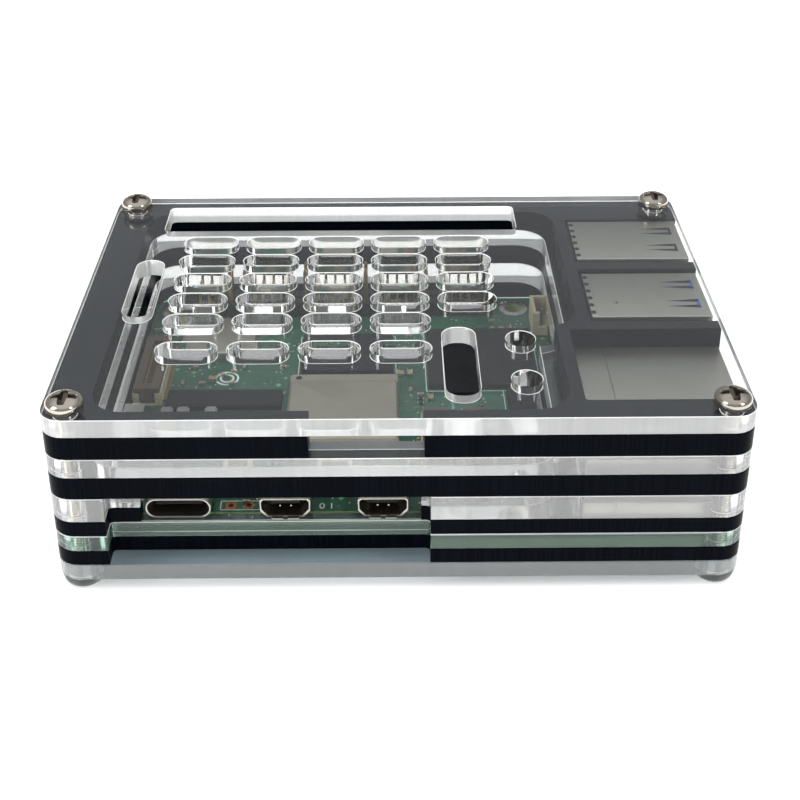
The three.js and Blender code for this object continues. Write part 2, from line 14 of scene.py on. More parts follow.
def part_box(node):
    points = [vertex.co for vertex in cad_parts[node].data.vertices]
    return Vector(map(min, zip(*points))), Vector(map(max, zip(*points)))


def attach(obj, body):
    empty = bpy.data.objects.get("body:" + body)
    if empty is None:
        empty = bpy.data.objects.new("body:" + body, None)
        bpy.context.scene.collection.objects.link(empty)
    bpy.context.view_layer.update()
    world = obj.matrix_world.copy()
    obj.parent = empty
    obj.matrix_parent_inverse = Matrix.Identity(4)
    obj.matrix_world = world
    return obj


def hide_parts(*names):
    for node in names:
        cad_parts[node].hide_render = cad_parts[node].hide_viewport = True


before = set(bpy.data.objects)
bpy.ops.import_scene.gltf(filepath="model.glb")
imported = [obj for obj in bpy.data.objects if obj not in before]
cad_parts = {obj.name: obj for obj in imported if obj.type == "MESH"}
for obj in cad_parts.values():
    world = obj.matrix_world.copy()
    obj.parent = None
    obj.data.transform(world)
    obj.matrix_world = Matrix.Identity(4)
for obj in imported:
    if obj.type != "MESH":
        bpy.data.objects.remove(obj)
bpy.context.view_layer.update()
MM = 0.001
SMOOTH_BELOW = math.radians(32)
WELD_WITHIN = 1e-7  # metres, as are the next two
DISSOLVE_WITHIN = 1e-8
CAD_WELD_WITHIN = 1e-6
ACRYLIC_IOR = 1.49


# ---- the camera ----
def place_camera():
    """Location, then a frame from pitch below the horizon, yaw to the right and a small roll."""
    pitch, yaw, roll = (math.radians(a) for a in (26.541, 0.379, -0.166))
    forward = Vector((math.sin(yaw) * math.cos(pitch), math.cos(yaw) * math.cos(pitch), -math.sin(pitch)))
    place = Vector((-1.43, -179.96, 129.95))
    right = Vector((math.cos(yaw), -math.sin(yaw), 0))
    up = right.cross(forward)
    right, up = math.cos(roll) * right + math.sin(roll) * up, math.cos(roll) * up - math.sin(roll) * right
    lens = bpy.data.cameras.new("camera")
    lens.sensor_width, lens.lens = 36, 61.875
    lens.shift_x, lens.shift_y = 0.006, -0.2231
    lens.clip_start, lens.clip_end = 0.005, 20
    camera = bpy.data.objects.new("camera", lens)
    turned = Matrix((right, up, -forward)).transposed().to_4x4()
    camera.matrix_world = Matrix.Translation(place * MM) @ turned
    bpy.context.scene.collection.objects.link(camera)
    bpy.context.scene.camera = camera


place_camera()


def span(node):
    """A CAD node's lowest and highest corners in millimetres."""
    low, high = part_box(node)
    return np.array(low) / MM, np.array(high) / MM


# ---- node trees ----
class Wiring:
    """Short calls that add and join the nodes of one tree."""

    def __init__(self, tree):
        self.tree = tree

    def add(self, kind, values=None, **settings):
        """A new node: its settings, then each input linked to a socket or given a value."""
        node = self.tree.nodes.new("ShaderNode" + kind)
        for key, value in settings.items():
            setattr(node, key, value)
        for key, value in (values or {}).items():
            if isinstance(value, bpy.types.NodeSocket):
                self.tree.links.new(value, node.inputs[key])
            else:
                node.inputs[key].default_value = value
        return node

    def math(self, operation, a, b=0.0):
        return self.add("Math", {0: a, 1: b}, operation=operation).outputs[0]

    def remap(self, value, low, high, new_low, new_high):
        values = {"Value": value, "From Min": low, "From Max": high, "To Min": new_low, "To Max": new_high}
        return self.add("MapRange", values).outputs[0]

    def mix(self, share, a, b):
        return self.add("Mix", {0: share, 6: a, 7: b}, data_type="RGBA").outputs[2]

    def noise(self, vector, scale, detail=2.0, roughness=0.5):
        values = {"Vector": vector, "Scale": scale, "Detail": detail, "Roughness": roughness}
        return self.add("TexNoise", values).outputs[0]

    def stretched(self, factors):
        """Object coordinates times three factors: a small factor draws a pattern out along its axis."""
        place = self.add("TexCoord").outputs["Object"]
        return self.add("VectorMath", {0: place, 1: factors}, operation="MULTIPLY").outputs[0]

    def upright(self):
        """One where the surface stands upright, zero where it lies flat."""
        normal = self.add("SeparateXYZ", {0: self.add("NewGeometry").outputs["True Normal"]})
        return self.math("LESS_THAN", self.math("ABSOLUTE", normal.outputs["Z"]), 0.5)

    def group(self, shared, values):
        node = self.tree.nodes.new("ShaderNodeGroup")
        node.node_tree = shared
        for key, value in values.items():
            node.inputs[key].default_value = value
        return node.outputs


def shared_effect(name, inputs, outputs):
    """A new shader node group with float inputs and named outputs; returns it, its wiring and both ends."""
    tree = bpy.data.node_groups.new(name, "ShaderNodeTree")
    for socket, value in inputs.items():
        tree.interface.new_socket(socket, in_out="INPUT", socket_type="NodeSocketFloat").default_value = value
    for socket, kind in outputs.items():
        tree.interface.new_socket(socket, in_out="OUTPUT", socket_type="NodeSocket" + kind)
    given = tree.nodes.new("NodeGroupInput").outputs
    taken = tree.nodes.new("NodeGroupOutput").inputs
    return tree, Wiring(tree), given, taken


def laser_cut_effect():
    """Fine streaks on faces that stand upright: noise drawn out along Z, kept where the normal is level."""
    tree, w, given, out = shared_effect(
        "laser_cut_sides",
        {"Streak Size": 2500.0, "Streak Depth": 1.0},
        {"Side": "Float", "Streak": "Float", "Normal": "Vector"},
    )
    side = w.upright()
    fine = w.noise(w.stretched((1, 1, 0.03)), given["Streak Size"], 3)
    broad = w.noise(w.stretched((1, 1, 0.01)), 260.0, 1)
    streak = w.math("ADD", w.math("MULTIPLY", fine, 0.6), w.math("MULTIPLY", broad, 0.4))
    height = w.math("MULTIPLY", streak, w.math("MULTIPLY", side, given["Streak Depth"]))
    bump = w.add("Bump", {"Height": height, "Distance": 0.00006, "Strength": 0.55})
    for name, socket in (("Side", side), ("Streak", streak), ("Normal", bump.outputs[0])):
        tree.links.new(socket, out[name])
    return tree


def grain_effect():
    """Fine moulded or blasted grain: one noise as a mask and, through a bump, as a normal."""
    tree, w, given, out = shared_effect(
        "fine_grain", {"Grain Size": 3000.0, "Grain Depth": 0.2}, {"Mask": "Float", "Normal": "Vector"}
    )
    grain = w.noise(w.stretched((1, 1, 1)), given["Grain Size"], 4, 0.6)
    bump = w.add("Bump", {"Height": grain, "Distance": 0.00004, "Strength": given["Grain Depth"]})
    tree.links.new(grain, out["Mask"])
    tree.links.new(bump.outputs[0], out["Normal"])
    return tree


def handling_effect():
    """Patches left by handling and dust: broad noise mixed with fine specks, from Low to High."""
    tree, w, given, out = shared_effect(
        "handling_marks", {"Low": 0.1, "High": 0.3, "Patch Size": 120.0}, {"Value": "Float", "Speck": "Float"}
    )
    patch = w.noise(w.stretched((1, 1, 1)), given["Patch Size"], 3, 0.6)
    speck = w.add("TexVoronoi", {"Vector": w.stretched((1, 1, 1)), "Scale": 900.0}).outputs["Distance"]
    dust = w.remap(speck, 0.05, 0.09, 1.0, 0.0)
    tree.links.new(w.remap(patch, 0.35, 0.68, given["Low"], given["High"]), out["Value"])
    tree.links.new(dust, out["Speck"])
    return tree


def brushed_effect():
    """Rolling marks: noise drawn out along X, as a mask and a normal."""
    tree, w, given, out = shared_effect(
        "rolled_lines", {"Line Size": 4000.0, "Line Depth": 0.2}, {"Mask": "Float", "Normal": "Vector"}
    )
    lines = w.noise(w.stretched((0.03, 1, 1)), given["Line Size"], 3)
    bump = w.add("Bump", {"Height": lines, "Distance": 0.00003, "Strength": given["Line Depth"]})
    tree.links.new(lines, out["Mask"])
    tree.links.new(bump.outputs[0], out["Normal"])
    return tree


LASER_CUT = laser_cut_effect()
GRAIN = grain_effect()
HANDLING = handling_effect()
ROLLED = brushed_effect()


# ---- finishes ----
def finish(name, colour, roughness=0.5, metallic=0.0, **sockets):
    """A new material; returns it, its wiring and its Principled shader, plain sockets already set."""
    material = bpy.data.materials.new(name)
    material.use_nodes = True
    shader = material.node_tree.nodes["Principled BSDF"]
    shader.inputs["Base Color"].default_value = (*colour, 1)
    shader.inputs["Roughness"].default_value = roughness
    shader.inputs["Metallic"].default_value = metallic
    for key, value in sockets.items():
        shader.inputs[key.replace("_", " ")].default_value = value
    return material, Wiring(material.node_tree), shader


def join(w, source, shader, socket):
    """Links an output to a shader's named socket."""
    w.tree.links.new(source, shader.inputs[socket])


def through_to_lamps(w, shader, colour):
    """Rays from lamps pass: a Transparent shader takes over for shadow rays."""
    lamps = w.add("LightPath").outputs["Is Shadow Ray"]
    open_side = w.add("BsdfTransparent", {"Color": (*colour, 1)})
    both = w.add("MixShader", {0: lamps, 1: shader.outputs[0], 2: open_side.outputs[0]})
    w.tree.links.new(both.outputs[0], w.tree.nodes["Material Output"].inputs["Surface"])


def clear_face(name, tint):
    """The polished face of cast sheet: glass-like, with faint smears."""
    material, w, shader = finish(
        name, tint, 0.0, Transmission_Weight=1.0, IOR=ACRYLIC_IOR, Specular_IOR_Level=0.22
    )
    marks = w.group(HANDLING, {"Low": 0.0, "High": 0.03, "Patch Size": 70.0})
    join(w, marks["Value"], shader, "Roughness")
    through_to_lamps(w, shader, (0.94, 0.96, 0.955))
    return material


def clear_cut(name, passing, rough_low, rough_high, depth, tint=(1, 1, 0.99)):
    """The laser-cut side of clear sheet: part of the light passes, part scatters off the upright streaks."""
    material, w, shader = finish(name, tint, 0.1, Transmission_Weight=passing, IOR=ACRYLIC_IOR)
    cut = w.group(LASER_CUT, {"Streak Size": 1800.0, "Streak Depth": depth})
    join(w, w.remap(cut["Streak"], 0.3, 0.7, rough_low, rough_high), shader, "Roughness")
    shade = tuple(c * 0.9 for c in tint)
    light = w.remap(cut["Streak"], 0.35, 0.65, 0.0, 1.0)
    join(w, w.mix(light, (*shade, 1), (*tint, 1)), shader, "Base Color")
    join(w, cut["Normal"], shader, "Normal")
    through_to_lamps(w, shader, (0.9, 0.92, 0.91))
    return material


def black_face():
    """The polished face of black sheet: near black, glossy, with smears and a few specks of dust."""
    material, w, shader = finish(
        "black_acrylic_face", (0.004, 0.005, 0.007), 0.1, IOR=ACRYLIC_IOR, Specular_IOR_Level=0.28
    )
    marks = w.group(HANDLING, {"Low": 0.04, "High": 0.14, "Patch Size": 90.0})
    join(w, marks["Value"], shader, "Roughness")
    dusty = w.mix(w.math("MULTIPLY", marks["Speck"], 0.2), (0.006, 0.007, 0.009, 1), (0.06, 0.06, 0.06, 1))
    join(w, dusty, shader, "Base Color")
    return material


def black_cut():
    """The laser-cut side of black sheet: a navy black with upright streaks, less glossy than the face."""
    material, w, shader = finish(
        "black_acrylic_cut", (0.002, 0.003, 0.005), 0.3, IOR=ACRYLIC_IOR, Specular_IOR_Level=0.02
    )
    cut = w.group(LASER_CUT, {"Streak Size": 2600.0, "Streak Depth": 0.45})
    join(w, w.remap(cut["Streak"], 0.3, 0.7, 0.2, 0.34), shader, "Roughness")
    join(w, cut["Normal"], shader, "Normal")
    light = w.remap(cut["Streak"], 0.4, 0.7, 0.0, 1.0)
    navy = w.mix(light, (0.0012, 0.0018, 0.0035, 1), (0.0022, 0.0034, 0.0065, 1))
    join(w, navy, shader, "Base Color")
    return material


def metal(name, colour, low, high, lines=0.15, tint=0.9):
    """Rolled or plated metal: colour darkened in patches, roughness between low and high, faint lines."""
    material, w, shader = finish(name, colour, low, 1.0)
    marks = w.group(HANDLING, {"Low": low, "High": high, "Patch Size": 90.0})
    rolled = w.group(ROLLED, {"Line Size": 5000.0, "Line Depth": lines})
    join(w, marks["Value"], shader, "Roughness")
    join(w, rolled["Normal"], shader, "Normal")
    dark = tuple(c * tint for c in colour)
    worn = w.remap(marks["Value"], low, high, 0.0, 1.0)
    lined = w.remap(rolled["Mask"], 0.3, 0.7, 0.5, 1.0)
    share = w.math("MULTIPLY", worn, lined)
    join(w, w.mix(share, (*colour, 1), (*dark, 1)), shader, "Base Color")
    return material


def moulded(name, colour, roughness, depth=0.25, size=3500.0, **sockets):
    """Moulded plastic, epoxy or ceramic: fine grain in the normal and colour, patches in the roughness."""
    material, w, shader = finish(name, colour, roughness, **sockets)
    grain = w.group(GRAIN, {"Grain Size": size, "Grain Depth": depth})
    patches = {"Low": roughness * 0.85, "High": min(1.0, roughness * 1.25), "Patch Size": 160.0}
    marks = w.group(HANDLING, patches)
    join(w, marks["Value"], shader, "Roughness")
    join(w, grain["Normal"], shader, "Normal")
    low, high = (tuple(min(1.0, c * k) for c in colour) for k in (0.82, 1.15))
    join(w, w.mix(w.remap(grain["Mask"], 0.3, 0.7, 0.0, 1.0), (*low, 1), (*high, 1)), shader, "Base Color")
    return material


def board_mask():
    """Solder mask over copper: tracks at 45 degrees, ground fill, vias, and laminate at the cut edge."""
    material, w, shader = finish("board_mask", (0.01, 0.09, 0.045), 0.3, Specular_IOR_Level=0.5)
    place = w.add("TexCoord").outputs["Object"]
    flat = w.add("VectorMath", {0: place, 1: (1, 1, 0)}, operation="MULTIPLY").outputs[0]
    cells = {"Vector": flat, "Scale": 190.0, "Randomness": 0.85}
    warp = w.add("TexVoronoi", cells, distance="MANHATTAN", feature="F1")
    step = w.math("FRACT", w.math("MULTIPLY", warp.outputs["Distance"], 9.0))
    track = w.math("LESS_THAN", step, 0.42)
    zone = w.noise(flat, 55.0, 1)
    routed = w.math("GREATER_THAN", zone, 0.5)
    lines = w.math("MULTIPLY", track, routed)
    vias = w.add("TexVoronoi", {"Vector": flat, "Scale": 420.0, "Randomness": 0.7}).outputs["Distance"]
    dots = w.math("LESS_THAN", vias, 0.16)
    stitched = w.math("GREATER_THAN", w.noise(flat, 140.0, 0), 0.52)
    via = w.math("MULTIPLY", dots, stitched)
    ground = (0.007, 0.041, 0.025, 1)
    copper = w.mix(lines, ground, (0.014, 0.074, 0.043, 1))
    dotted = w.mix(via, copper, (0.10, 0.26, 0.14, 1))
    side = w.upright()
    glass = w.mix(w.noise(w.stretched((1, 1, 6)), 900.0, 2), (0.10, 0.16, 0.05, 1), (0.30, 0.36, 0.12, 1))
    join(w, w.mix(side, dotted, glass), shader, "Base Color")
    height = w.math("ADD", w.math("MULTIPLY", lines, 0.6), w.math("MULTIPLY", via, -0.5))
    bump = w.add("Bump", {"Height": height, "Distance": 0.00002, "Strength": 0.6})
    join(w, bump.outputs[0], shader, "Normal")
    marks = w.group(HANDLING, {"Low": 0.22, "High": 0.4, "Patch Size": 100.0})
    join(w, marks["Value"], shader, "Roughness")
    return material


def clear_rubber():
    """Soft clear rubber: glass-like, with a dull, finely grained skin."""
    material, w, shader = finish("clear_rubber", (0.93, 0.95, 0.94), 0.12, Transmission_Weight=1.0, IOR=1.45)
    grain = w.group(GRAIN, {"Grain Size": 1500.0, "Grain Depth": 0.25})
    join(w, grain["Normal"], shader, "Normal")
    join(w, w.remap(grain["Mask"], 0.3, 0.7, 0.08, 0.2), shader, "Roughness")
    through_to_lamps(w, shader, (0.85, 0.87, 0.86))
    return material


# each sheet's finishes, in this order: its faces, its cut sides, its rims, the sides of its small openings
CUT_SIDE, RIM, SMALL_SIDE = 1, 2, 3
CLEAR = [
    clear_face("clear_acrylic_face", (0.95, 0.97, 0.975)),
    clear_cut("clear_acrylic_cut", 0.78, 0.02, 0.14, 0.5),
    clear_cut("clear_acrylic_rim", 0.3, 0.1, 0.3, 0.3),
    clear_cut("clear_acrylic_vent", 0.96, 0.0, 0.01, 0.02),
]
FROSTED_CUT = clear_cut("clear_acrylic_frosted_cut", 0.6, 0.04, 0.18, 0.45)
FROSTED = [CLEAR[0], FROSTED_CUT, CLEAR[2], CLEAR[3]]
# Painted reflection: layer 7's cut sides are coloured green for the circuit board mirrored in them; the sheet
# itself is clear.
REFLECTED_BOARD_CUT = clear_cut("clear_acrylic_cut_painted_board_reflection", 0.93, 0.0, 0.1, 0.3, (0.42, 0.64, 0.54))
REFLECTED_BOARD = [CLEAR[0], REFLECTED_BOARD_CUT, CLEAR[2], CLEAR[3]]
# Painted shade: the bottom plate's faces, cut sides and rims are darkened blue-grey for the shade under the
# case; the sheet itself is clear.
SHADED_CLEAR = [
    clear_face("clear_acrylic_face_painted_shade", (0.36, 0.45, 0.49)),
    clear_cut("clear_acrylic_cut_painted_shade", 0.72, 0.02, 0.12, 0.4, (0.62, 0.66, 0.66)),
    clear_cut("clear_acrylic_rim_painted_shade", 0.5, 0.1, 0.3, 0.3, (0.70, 0.75, 0.77)),
    CLEAR[3],
]
BLACK_CUT = black_cut()
BLACK = [black_face(), BLACK_CUT, BLACK_CUT, BLACK_CUT]
NICKEL = metal("nickel_plate", (0.56, 0.51, 0.44), 0.10, 0.2, 0.1, 0.75)
# Painted shade: a dark nickel for the deep faces of the screw heads' cross, standing for the shade in the
# recess.
RECESS_SHADE = metal("nickel_painted_recess_shade", (0.15, 0.13, 0.11), 0.3, 0.45, 0.2)
STEEL = metal("shell_steel", (0.55, 0.53, 0.475), 0.33, 0.38, 0.2)
LID = metal("lid_metal", (0.50, 0.465, 0.39), 0.38, 0.55, 0.35)
GOLD = metal("gold_contacts", (0.50, 0.38, 0.20), 0.25, 0.4, 0.05)
TIN = metal("tin_solder", (0.55, 0.54, 0.51), 0.2, 0.4, 0.1)
COPPER = metal("bare_copper", (0.45, 0.18, 0.08), 0.3, 0.45, 0.1)
BOARD = board_mask()
CHIP = moulded("chip_epoxy", (0.007, 0.008, 0.009), 0.5, 0.3, Specular_IOR_Level=0.15)
BLACK_PLASTIC = moulded("black_plastic", (0.009, 0.009, 0.010), 0.45, 0.2, Specular_IOR_Level=0.25)
CREAM = moulded("cream_plastic", (0.36, 0.32, 0.225), 0.45, 0.2)
FERRITE = moulded("inductor_ferrite", (0.14, 0.14, 0.135), 0.5, 0.3)
BROWN = moulded("brown_plastic", (0.055, 0.04, 0.028), 0.4, 0.25)
BLUE = moulded("blue_plastic", (0.02, 0.12, 0.60), 0.35, 0.15)
WHITE = moulded("white_plastic", (0.82, 0.82, 0.78), 0.4, 0.1)
SILK = moulded("silkscreen_ink", (0.55, 0.60, 0.55), 0.6, 0.3)
TAN = moulded("capacitor_ceramic", (0.22, 0.15, 0.09), 0.5, 0.2)
RUBBER = clear_rubber()


# ---- outlines and solids ----
def rounded_outline(x0, x1, y0, y1, radius, steps=5):
    """A rectangle with round corners, anticlockwise: a corner's centre plus radius times cosine and sine."""
    quarter = np.pi / 2
    left, right, front, rear = x0 + radius, x1 - radius, y0 + radius, y1 - radius
    arcs = []
    for k, (x, y) in enumerate(((right, rear), (left, rear), (left, front), (right, front))):
        turn = np.linspace(0, quarter, steps + 1) + k * np.pi / 2
        arcs.append(np.column_stack([x + radius * np.cos(turn), y + radius * np.sin(turn)]))
    return np.concatenate(arcs)


def circle_outline(x, y, radius, count=40):
    """A circle, anticlockwise: centre plus radius times cosine and sine."""
    turn = np.arange(count) * 2 * np.pi / count
    return np.column_stack([x + radius * np.cos(turn), y + radius * np.sin(turn)])


MITRE_LIMIT = 0.3  # the least divisor at a sharp corner, so that it doesn't run off


def inset(loop, amount):
    """Each corner moved into the material, along the mitre of the left normals of its two edges."""
    ahead = np.roll(loop, -1, 0) - loop
    ahead /= np.linalg.norm(ahead, axis=1, keepdims=True)
    behind = np.roll(ahead, 1, 0)
    left_a, left_b = (np.column_stack([-d[:, 1], d[:, 0]]) for d in (behind, ahead))
    return loop + amount * (left_a + left_b) / np.maximum(1 + (left_a * left_b).sum(1), MITRE_LIMIT)[:, None]


def at_height(outline, level):
    """An outline in the plane as points at one height."""
    return np.column_stack([outline, np.full(len(outline), level)])


def turned_ring(x, y, radius, level, turn):
    """Points round the upright axis through x and y: centre plus radius times cosine and sine of the turn."""
    return np.column_stack([x + radius * np.cos(turn), y + radius * np.sin(turn), np.full(len(turn), level)])


def eased_wall(loop, low, high, ease):
    """The four rings of an upright wall, the lowest and highest set in by the easing."""
    narrow = inset(loop, ease)
    levels = ((narrow, low), (loop, low + ease), (loop, high - ease), (narrow, high))
    return [at_height(outline, level) for outline, level in levels]


def band_quads(count, starts):
    """Quads from one ring to the next, for each ring whose first point has one of these numbers."""
    here = np.arange(count)
    after = (here + 1) % count
    bands = [np.column_stack([here + k, after + k, after + k + count, here + k + count]) for k in starts]
    return np.concatenate(bands)


SMALL_OPENING = 12.0
FILL_TURN = 0.3  # radians


class Shape:
    """Points and faces gathered from several surfaces, each with the number of its finish."""

    def __init__(self):
        self.points, self.faces, self.finish, self.count = [], [], [], 0

    def add(self, points, faces, finish=0):
        self.points.append(np.asarray(points, float))
        self.faces.extend((np.asarray(faces) + self.count).tolist())
        self.finish.extend([finish] * len(faces))
        self.count += len(points)
        return self

    def wall(self, rings, finish=0, order=(0, 1, 2)):
        """Closed rings of equal count joined one to the next by quads."""
        count = len(rings[0])
        here = np.arange(count)
        after = (here + 1) % count
        steps = (np.arange(len(rings) - 1) * count)[:, None]
        quads = np.stack([here + steps, after + steps, after + steps + count, here + steps + count], -1)
        return self.add(np.concatenate(rings)[:, order], quads.reshape(-1, 4), finish)

    def cap(self, loops, level, upward, finish=0, order=(0, 1, 2)):
        """The flat area between outlines that don't cross, filled with triangles that face up or down. The
        filling is worked out on outlines turned a little, so that few points share a coordinate."""
        flat = np.concatenate(loops)
        cosine, sine = math.cos(FILL_TURN), math.sin(FILL_TURN)
        turn = np.array([[cosine, sine], [-sine, cosine]])
        sides = np.array(tessellate_polygon([[Vector((*p, 0)) for p in loop @ turn] for loop in loops]))
        a, b, c = (flat[sides[:, k]] for k in range(3))
        area = (b[:, 0] - a[:, 0]) * (c[:, 1] - a[:, 1]) - (b[:, 1] - a[:, 1]) * (c[:, 0] - a[:, 0])
        turned = (area > 0) != upward
        sides[turned] = sides[turned][:, ::-1]
        return self.add(at_height(flat, level)[:, order], sides, finish)

    def prism(self, loops, low, high, ease=0.1, finish=0, order=(0, 1, 2), side=None, rim=None):
        """Outlines raised from low to high, with each rim broken at 45 degrees by the easing."""
        side, rim = (finish if number is None else number for number in (side, rim))
        for loop in loops:
            small = side == CUT_SIDE and np.ptp(loop, axis=0).max() < SMALL_OPENING
            rings = eased_wall(loop, low, high, ease)
            self.wall(rings[:2], rim, order)
            self.wall(rings[1:3], SMALL_SIDE if small else side, order)
            self.wall(rings[2:], rim, order)
        rims = [inset(loop, ease) for loop in loops]
        self.cap(rims, low, False, finish, order)
        return self.cap(rims, high, True, finish, order)

    def block(self, x0, x1, y0, y1, z0, z1, ease=0.08, corner=0.15, finish=0):
        """A block with round upright corners and eased rims."""
        return self.prism([rounded_outline(x0, x1, y0, y1, corner, 3)], z0, z1, ease, finish)

    def lathe(self, profile, x, y, count=48, finish=0):
        """A profile of radius and height turned round the upright axis through x and y."""
        turn = np.arange(count) * 2 * np.pi / count
        return self.wall([turned_ring(x, y, radius, level, turn) for radius, level in profile], finish)

    def stamp(self, template, places, sizes, finish=0):
        """One small closed shape repeated: each place plus the template's points times that copy's size."""
        points, faces = template
        places, sizes = np.atleast_2d(places), np.atleast_2d(sizes)
        spread = places[:, None, :] + points[None] * np.broadcast_to(sizes, places.shape)[:, None, :]
        starts = (np.arange(len(places)) * len(points))[:, None, None]
        for kind in faces:
            shifted = (kind[None] + starts).reshape(-1, kind.shape[1])
            self.faces.extend((shifted + self.count).tolist())
            self.finish.extend([finish] * len(shifted))
        self.points.append(spread.reshape(-1, 3))
        self.count += len(places) * len(points)
        return self


ALONG_X = (2, 0, 1)  # an outline in Y and Z carried along X
ALONG_Y = (1, 2, 0)  # an outline in Z and X carried along Y


UNIT_SQUARE = np.array([(-0.5, -0.5), (0.5, -0.5), (0.5, 0.5), (-0.5, 0.5)])
# the faces that close three square rings into a solid
SQUARE_TOWER = [np.concatenate([band_quads(4, (0, 4)), [[3, 2, 1, 0], [8, 9, 10, 11]]])]


def unit_block(ease=0.12):
    """A block from -0.5 to 0.5 with an eased upper rim, as points and quads: two square rings, then a smaller
    one on top."""
    rings = ((UNIT_SQUARE, -0.5), (UNIT_SQUARE, 0.5 - ease), (UNIT_SQUARE * (1 - 2 * ease), 0.5))
    return np.concatenate([at_height(ring, level) for ring, level in rings]), SQUARE_TOWER


def unit_dome(count=10):
    """A low solder dome of unit width standing on zero, as points, quads and the cap's fan of triangles."""
    turn = np.arange(count) * 2 * np.pi / count
    ring = np.column_stack([np.cos(turn), np.sin(turn)]) / 2
    rings = [at_height(ring * share, level) for share, level in ((1.0, 0.0), (0.82, 0.45), (0.45, 0.85))]
    points = np.concatenate([*rings, [[0, 0, 1.0]], [[0, 0, 0.0]]])
    here = np.arange(count)
    after = (here + 1) % count
    top = np.column_stack([here + 2 * count, after + 2 * count, np.full(count, 3 * count)])
    base = np.column_stack([after, here, np.full(count, 3 * count + 1)])
    return points, [band_quads(count, (0, count)), np.concatenate([top, base])]


UNIT_BLOCK = unit_block()
UNIT_DOME = unit_dome()


def piece(name, shape, finishes, stands_for=(), body="case", weld=True, smooth=SMOOTH_BELOW):
    """Makes the mesh in metres, closes its seams, sets its finishes, and hangs it on a body of the frame."""
    mesh = bpy.data.meshes.new(name)
    mesh.from_pydata((np.concatenate(shape.points) * MM).tolist(), [], shape.faces)
    mesh.polygons.foreach_set("material_index", shape.finish)
    if weld:
        solid = bmesh.new()
        solid.from_mesh(mesh)
        bmesh.ops.remove_doubles(solid, verts=solid.verts, dist=WELD_WITHIN)
        bmesh.ops.dissolve_degenerate(solid, edges=solid.edges, dist=DISSOLVE_WITHIN)
        solid.to_mesh(mesh)
        solid.free()
    mesh.polygons.foreach_set("use_smooth", np.ones(len(mesh.polygons), bool))
    mesh.set_sharp_from_angle(angle=smooth)
    for material in finishes if isinstance(finishes, (list, tuple)) else [finishes]:
        mesh.materials.append(material)
    made = bpy.data.objects.new(name, mesh)
    bpy.context.scene.collection.objects.link(made)
    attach(made, body)
    if stands_for:
        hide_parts(*([stands_for] if isinstance(stands_for, str) else stands_for))
    return made


def dress(node, material):
    """A CAD node whose shape is right keeps it and takes a better finish."""
    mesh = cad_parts[node].data
    mesh.materials.clear()
    mesh.materials.append(material)


def soften(node, width=0.07):
    """Breaks a kept CAD node's sharp edges: its loose triangles are joined, then the edges rounded."""
    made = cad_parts[node]
    made.modifiers.new("join", "WELD").merge_threshold = CAD_WELD_WITHIN
    rounding = made.modifiers.new("round", "BEVEL")
    rounding.width, rounding.segments, rounding.limit_method = width * MM, 2, "ANGLE"
    rounding.angle_limit = math.radians(40)


# ---- the acrylic layers ----
DOUBLINGS = 12  # enough for outlines of up to 4096 edges
CAD_CIRCLE_SIDES = 12


def cad_outlines(node, upward=True):
    """The outlines of a node's upper or lower face. An outline's edges are those that only one of the face's
    triangles has. Each edge's follower starts where it ends. Doubling the jumps along followers gives every
    edge its loop and its place in it."""
    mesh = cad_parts[node].data
    mesh.calc_loop_triangles()
    points = np.empty(len(mesh.vertices) * 3, np.float32)
    mesh.vertices.foreach_get("co", points)
    corners = np.empty(len(mesh.loop_triangles) * 3, np.int32)
    mesh.loop_triangles.foreach_get("vertices", corners)
    places, alike = np.unique(np.round(points.reshape(-1, 3) / MM, 3), axis=0, return_inverse=True)
    corners = alike.reshape(-1)[corners].reshape(-1, 3)
    level = places[:, 2].max() if upward else places[:, 2].min()
    face = corners[(places[corners][:, :, 2] == level).all(1)]
    if not upward:
        face = face[:, ::-1]
    edges = np.concatenate([face[:, [0, 1]], face[:, [1, 2]], face[:, [2, 0]]])
    size = len(places)
    forth, back = edges[:, 0] * size + edges[:, 1], edges[:, 1] * size + edges[:, 0]
    edges = edges[~np.isin(forth, back)]
    follower = np.argsort(edges[:, 0])[np.searchsorted(np.sort(edges[:, 0]), edges[:, 1])]
    number = np.arange(len(edges))
    loop, jump = number.copy(), follower.copy()
    for _ in range(DOUBLINGS):
        loop, jump = np.minimum(loop, loop[jump]), jump[jump]
    head = loop == number
    steps, jump = np.where(head, 0, 1), np.where(head, number, follower)
    for _ in range(DOUBLINGS):
        steps, jump = steps + steps[jump], jump[jump]
    steps = np.where(head, len(edges), steps)
    order = np.lexsort([-steps, loop])
    cuts = np.flatnonzero(np.diff(loop[order])) + 1
    return [rounder(places[edges[part, 0], :2]) for part in np.split(order, cuts)]


def rounder(loop):
    """A ring of twelve equal sides becomes a fine clockwise circle; any other outline stays."""
    middle = loop.mean(0)
    reach = np.linalg.norm(loop - middle, axis=1)
    if len(loop) != CAD_CIRCLE_SIDES or np.ptp(reach) > 0.02:
        return loop
    return circle_outline(*middle, reach.mean(), 48)[::-1]


SHEET_EASE = 0.085
POCKET_SHARE = 0.965  # of the CAD pocket's size, which keeps its corners inside the sheet's eased rim
POCKET_MARGIN = 0.05
POCKET_CLEARANCE = 0.1
LARGEST_POCKET = 20


def acrylic_sheet(node, finishes):
    """A sheet raised from the outlines of its CAD node, with eased rims."""
    (_, _, low), (_, _, high) = span(node)
    shape = Shape().prism(cad_outlines(node), low, high, SHEET_EASE, side=CUT_SIDE, rim=RIM)
    piece(node + "_sheet", shape, finishes, node)


